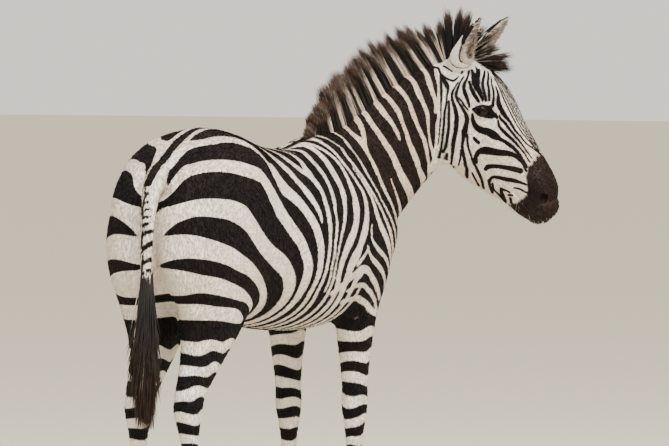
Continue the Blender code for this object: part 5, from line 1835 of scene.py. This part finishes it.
EYE_FINISH = eye_material()
for name, side in (("eye_left", 1), ("eye_right", -1)):
    ball = eyeball(name + "_ball", side)
    ball.data.materials.append(EYE_FINISH)
    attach(ball, "root")
    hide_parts(name)
print("eye radius:", EYE_RADIUS)

# %% [markdown]
# ## Lashes, whiskers and ear hair
# Lashes grow along the upper lid only, longest in the middle, and point out and a little down.
# Whiskers stand on the lips and chin. Long pale hair crosses the hollow of the ear from its rim.

# %% Lashes
def lash_cloud(seed):
    """A row of lashes along both upper lids."""
    rng = np.random.default_rng(seed)
    rows = []
    for side in (1, -1):
        for t in np.linspace(-0.86, 0.90, 46):
            ahead = FISSURE[0] * t
            rise = FISSURE[1] * math.sqrt(1 - t * t) * 0.98
            out = math.sqrt(max(EYE_RADIUS**2 - ahead**2 - rise**2, 0)) + LID * 0.7
            place = EYE + EYE_FORE * ahead + EYE_TOP * rise + EYE_OUT * out
            way = unit(EYE_OUT * 1.0 + EYE_FORE * (t * 0.8 + 0.15) - EYE_TOP * (0.30 + 0.25 * rng.random()))
            length = 0.009 + 0.007 * (1 - t * t) + 0.003 * rng.random()
            rows.append((place * [1, side, 1], way * [1, side, 1], EYE_TOP * [1, side, 1], length))
    place, way, top, length = (np.array(column) for column in zip(*rows))
    return {"place": from_head(place), "lie": way @ HEAD_TURN, "out": top @ HEAD_TURN, "size": length,
            "wide": np.full(len(rows), 1.0), "mark": np.full(len(rows), 0.02),
            "root_uv": rng.random((len(rows), 2))}


FINE_LOCK = [(0.03, 0.00032, 0.00032), (0.45, 0.00028, 0.00028), (0.8, 0.00016, 0.00016)]
FINE_BENDS = [(0.0035, 0.0005), (0.0025, -0.0005), (0.0045, 0.0), (0.0030, 0.0008)]
fine_locks = lock_set("fine_hair", FINE_LOCK, 3, FINE_BENDS)
dark_finish = hair_material("dark_fine_hair", 1.4, 0.0)
lashes = grow("lashes", lash_cloud(31), fine_locks, 1.15, 9, dark_finish)

# %% Whiskers
def whisker_cloud(count, seed):
    """Whiskers on the lips and chin."""
    local = folded(to_head(middle))
    height = np.interp(local[:, 0], *np.array(MOUTH).T)
    allowed = (local[:, 0] > 0.455) & (local[:, 0] < 0.57) & (local[:, 2] < height + 0.035)
    allowed &= (np.linalg.norm(local - [0.5, 0, -0.1], axis=1) < 0.14)
    place, out, spot, rng = scatter(count, seed, allowed & ~bare_place(middle))
    way = normed(out + HEAD_ALONG * 0.5 - UP * 0.5 + rng.normal(0, 0.25, (count, 3)))
    return {"place": place - out * 0.001, "lie": way, "out": normed(np.cross(way, HEAD_ALONG)),
            "size": 0.014 + 0.022 * rng.random(count) ** 2, "wide": np.full(count, 0.8), "root_uv": spot,
            "mark": np.where(rng.random(count) < 0.6, 0.02, -0.02)}


whiskers = grow("whiskers", whisker_cloud(110, 32), fine_locks, 0.7, 10, dark_finish)

# %% Ear hair
def ear_cloud(count, seed):
    """Long hair from the rims of both ears across their hollows."""
    along, side, rise = ear_place(middle)
    width = np.interp(along, *np.array(EAR)[:, :2].T)
    near = np.linalg.norm(folded(to_head(middle)) - EYE, axis=1) < 0.4
    allowed = near & (along > 0.02) & (along < 0.175) & (rise > 0.0) & (np.abs(side) < width + 0.004)
    allowed &= ear_shapes(middle)[1] < 0.006
    place, out, spot, rng = scatter(count, seed, allowed)
    along, side, rise = ear_place(place)
    right = to_head(place)[:, 1:2] < 0
    mirror = np.where(right, [[1.0, -1.0, 1.0]], [[1.0, 1.0, 1.0]])
    front = np.where(right, EAR_FRONTS[1], EAR_FRONTS[0])
    across = (np.cross(front, EAR_AXIS) * mirror) @ HEAD_TURN * -np.sign(side)[:, None]
    axis, front = (EAR_AXIS * mirror) @ HEAD_TURN, (front * mirror) @ HEAD_TURN
    way = normed(axis * 0.9 + front * 0.45 + across * 0.35 + rng.normal(0, 0.16, (count, 3)))
    return {"place": place - out * 0.001, "lie": way, "out": out, "size": 0.012 + 0.014 * rng.random(count),
            "wide": np.full(count, 1.5), "root_uv": spot, "mark": np.full(count, -0.02)}


pale_finish = hair_material("ear_hair", 1.4, 0.0)
ear_hair = grow("ear_hair", ear_cloud(1500, 33), fine_locks, 1.3, 11, pale_finish)

# %% [markdown]
# ## Hooves
# A zebra's hoof is a narrow cone of horn, higher at the toe than at the heel, with rings that
# grow down from the coronet and a cleft between the heels. Rings of points follow the cone, their
# radius rippled by the growth rings and pressed in at the back. The coronet is rolled over the
# top, and the sole is turned in and closed.

# %% Hoof shape
CORONET, CORONET_DROP = 0.060, 0.32  # height at the hoof's middle, and how it drops to the heel
TOE, FLARE = 0.030, 0.008  # how far the sole reaches past the coronet to the front and the sides
HOOF_SIDES = 64


def foot(name):
    """A hoof's middle and half size at the coronet."""
    back, front, width, y = leg_line(name, np.array([CORONET]))
    return float(back[0] + front[0]) / 2, float(y[0]), float(front[0] - back[0]) / 2, float(width[0])


def hoof_rings(name):
    """Rings from the inside of the coronet, over it, down the wall and under the sole."""
    x, y, half, width = foot(name)
    angle = np.arange(HOOF_SIDES) * 2 * math.pi / HOOF_SIDES
    cos, sin = np.cos(angle), np.sin(angle)
    cleft = np.exp(-(((np.abs(angle - math.pi)) / 0.20) ** 2))
    rows = []
    levels = [(-0.06, 0.55), (-0.02, 0.86), (0.0, 0.97)] + [(t, 1.0) for t in np.linspace(0.04, 0.97, 26)]
    for t, shrink in levels + [(1.0, 0.975), (1.0, 0.80), (0.985, 0.45)]:
        t_wall = min(max(t, 0), 1)
        ripple = 0.00045 * math.sin(t * 46) + 0.0003 * math.sin(t * 101 + 1) if shrink == 1 else 0
        roll = 0.0012 * math.exp(-((t - 0.05) / 0.05) ** 2)
        ahead = half * cos + t_wall * np.where(cos > 0, TOE, 0.006) * cos + t_wall * 0.004
        side = (width + 0.002 + t_wall * (FLARE - 0.002)) * sin
        top = CORONET + CORONET_DROP * half * cos - 0.0004
        height = top * (1 - t)
        scale = shrink * (1 - cleft * (0.10 + 0.12 * t_wall)) + (ripple + roll) / half
        rows.append(np.stack([x + ahead * scale, y + side * scale, height], 1))
    return rows


def build_hoof(name):
    """One hoof as a closed mesh."""
    rings = hoof_rings(name)
    points = np.vstack(rings + [rings[0].mean(0)[None], rings[-1].mean(0)[None]])
    first, last = len(points) - 2, len(points) - 1
    faces = []
    for k in range(HOOF_SIDES):
        n = (k + 1) % HOOF_SIDES
        faces.append((first, k, n))
        base = (len(rings) - 1) * HOOF_SIDES
        faces.append((last, base + n, base + k))
        for r in range(len(rings) - 1):
            a = r * HOOF_SIDES
            faces += [(a + k, a + HOOF_SIDES + k, a + HOOF_SIDES + n), (a + k, a + HOOF_SIDES + n, a + n)]
    end = name.replace("foreleg", "fore").replace("hindleg", "hind")
    return end, object_from(f"hoof_{end}_horn", points + SHIFT, faces)


# %% Horn
def horn_material():
    """Grey-brown horn with growth rings, fine upright fibres and dust near the ground."""
    material, start, shader = new_material("hoof_horn")
    place = start.node("ShaderNodeTexCoord", output=3)
    parts = start.node("ShaderNodeSeparateXYZ", Vector=place)
    height = parts.node("ShaderNodeSeparateXYZ", output=2, Vector=place)
    upright = (260.0, 260.0, 12.0)  # fine across and long up and down
    squeezed = start.node("ShaderNodeVectorMath", {"operation": "MULTIPLY"}, _0=place, _1=upright)
    fibres = noise(start, squeezed, 1.0, 3.0)
    rings = (height * 520.0 + noise(start, place, 24.0, 2.0) * 5).maths("SINE") * 0.5 + 0.5
    horn = (fibres * 0.6 + rings * 0.4).mix((0.045, 0.036, 0.031), (0.150, 0.120, 0.095))
    dusty = (0.022 - height).step(-0.012, 0.020)
    feed((dusty * 0.55).mix(horn, (0.34, 0.27, 0.19)), shader, "Base Color")
    feed(0.42 + fibres * 0.18, shader, "Roughness")
    feed(start.node("ShaderNodeBump", Strength=0.35, Distance=0.001, Height=fibres * 0.5 + rings * 0.5),
         shader, "Normal")
    return material


HORN = horn_material()
for leg in LEGS:
    end, hoof = build_hoof(leg)
    hoof.data.materials.append(HORN)
    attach(hoof, "root")
    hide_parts("hoof_" + end)
    print("hoof", end, len(hoof.data.polygons), "faces")
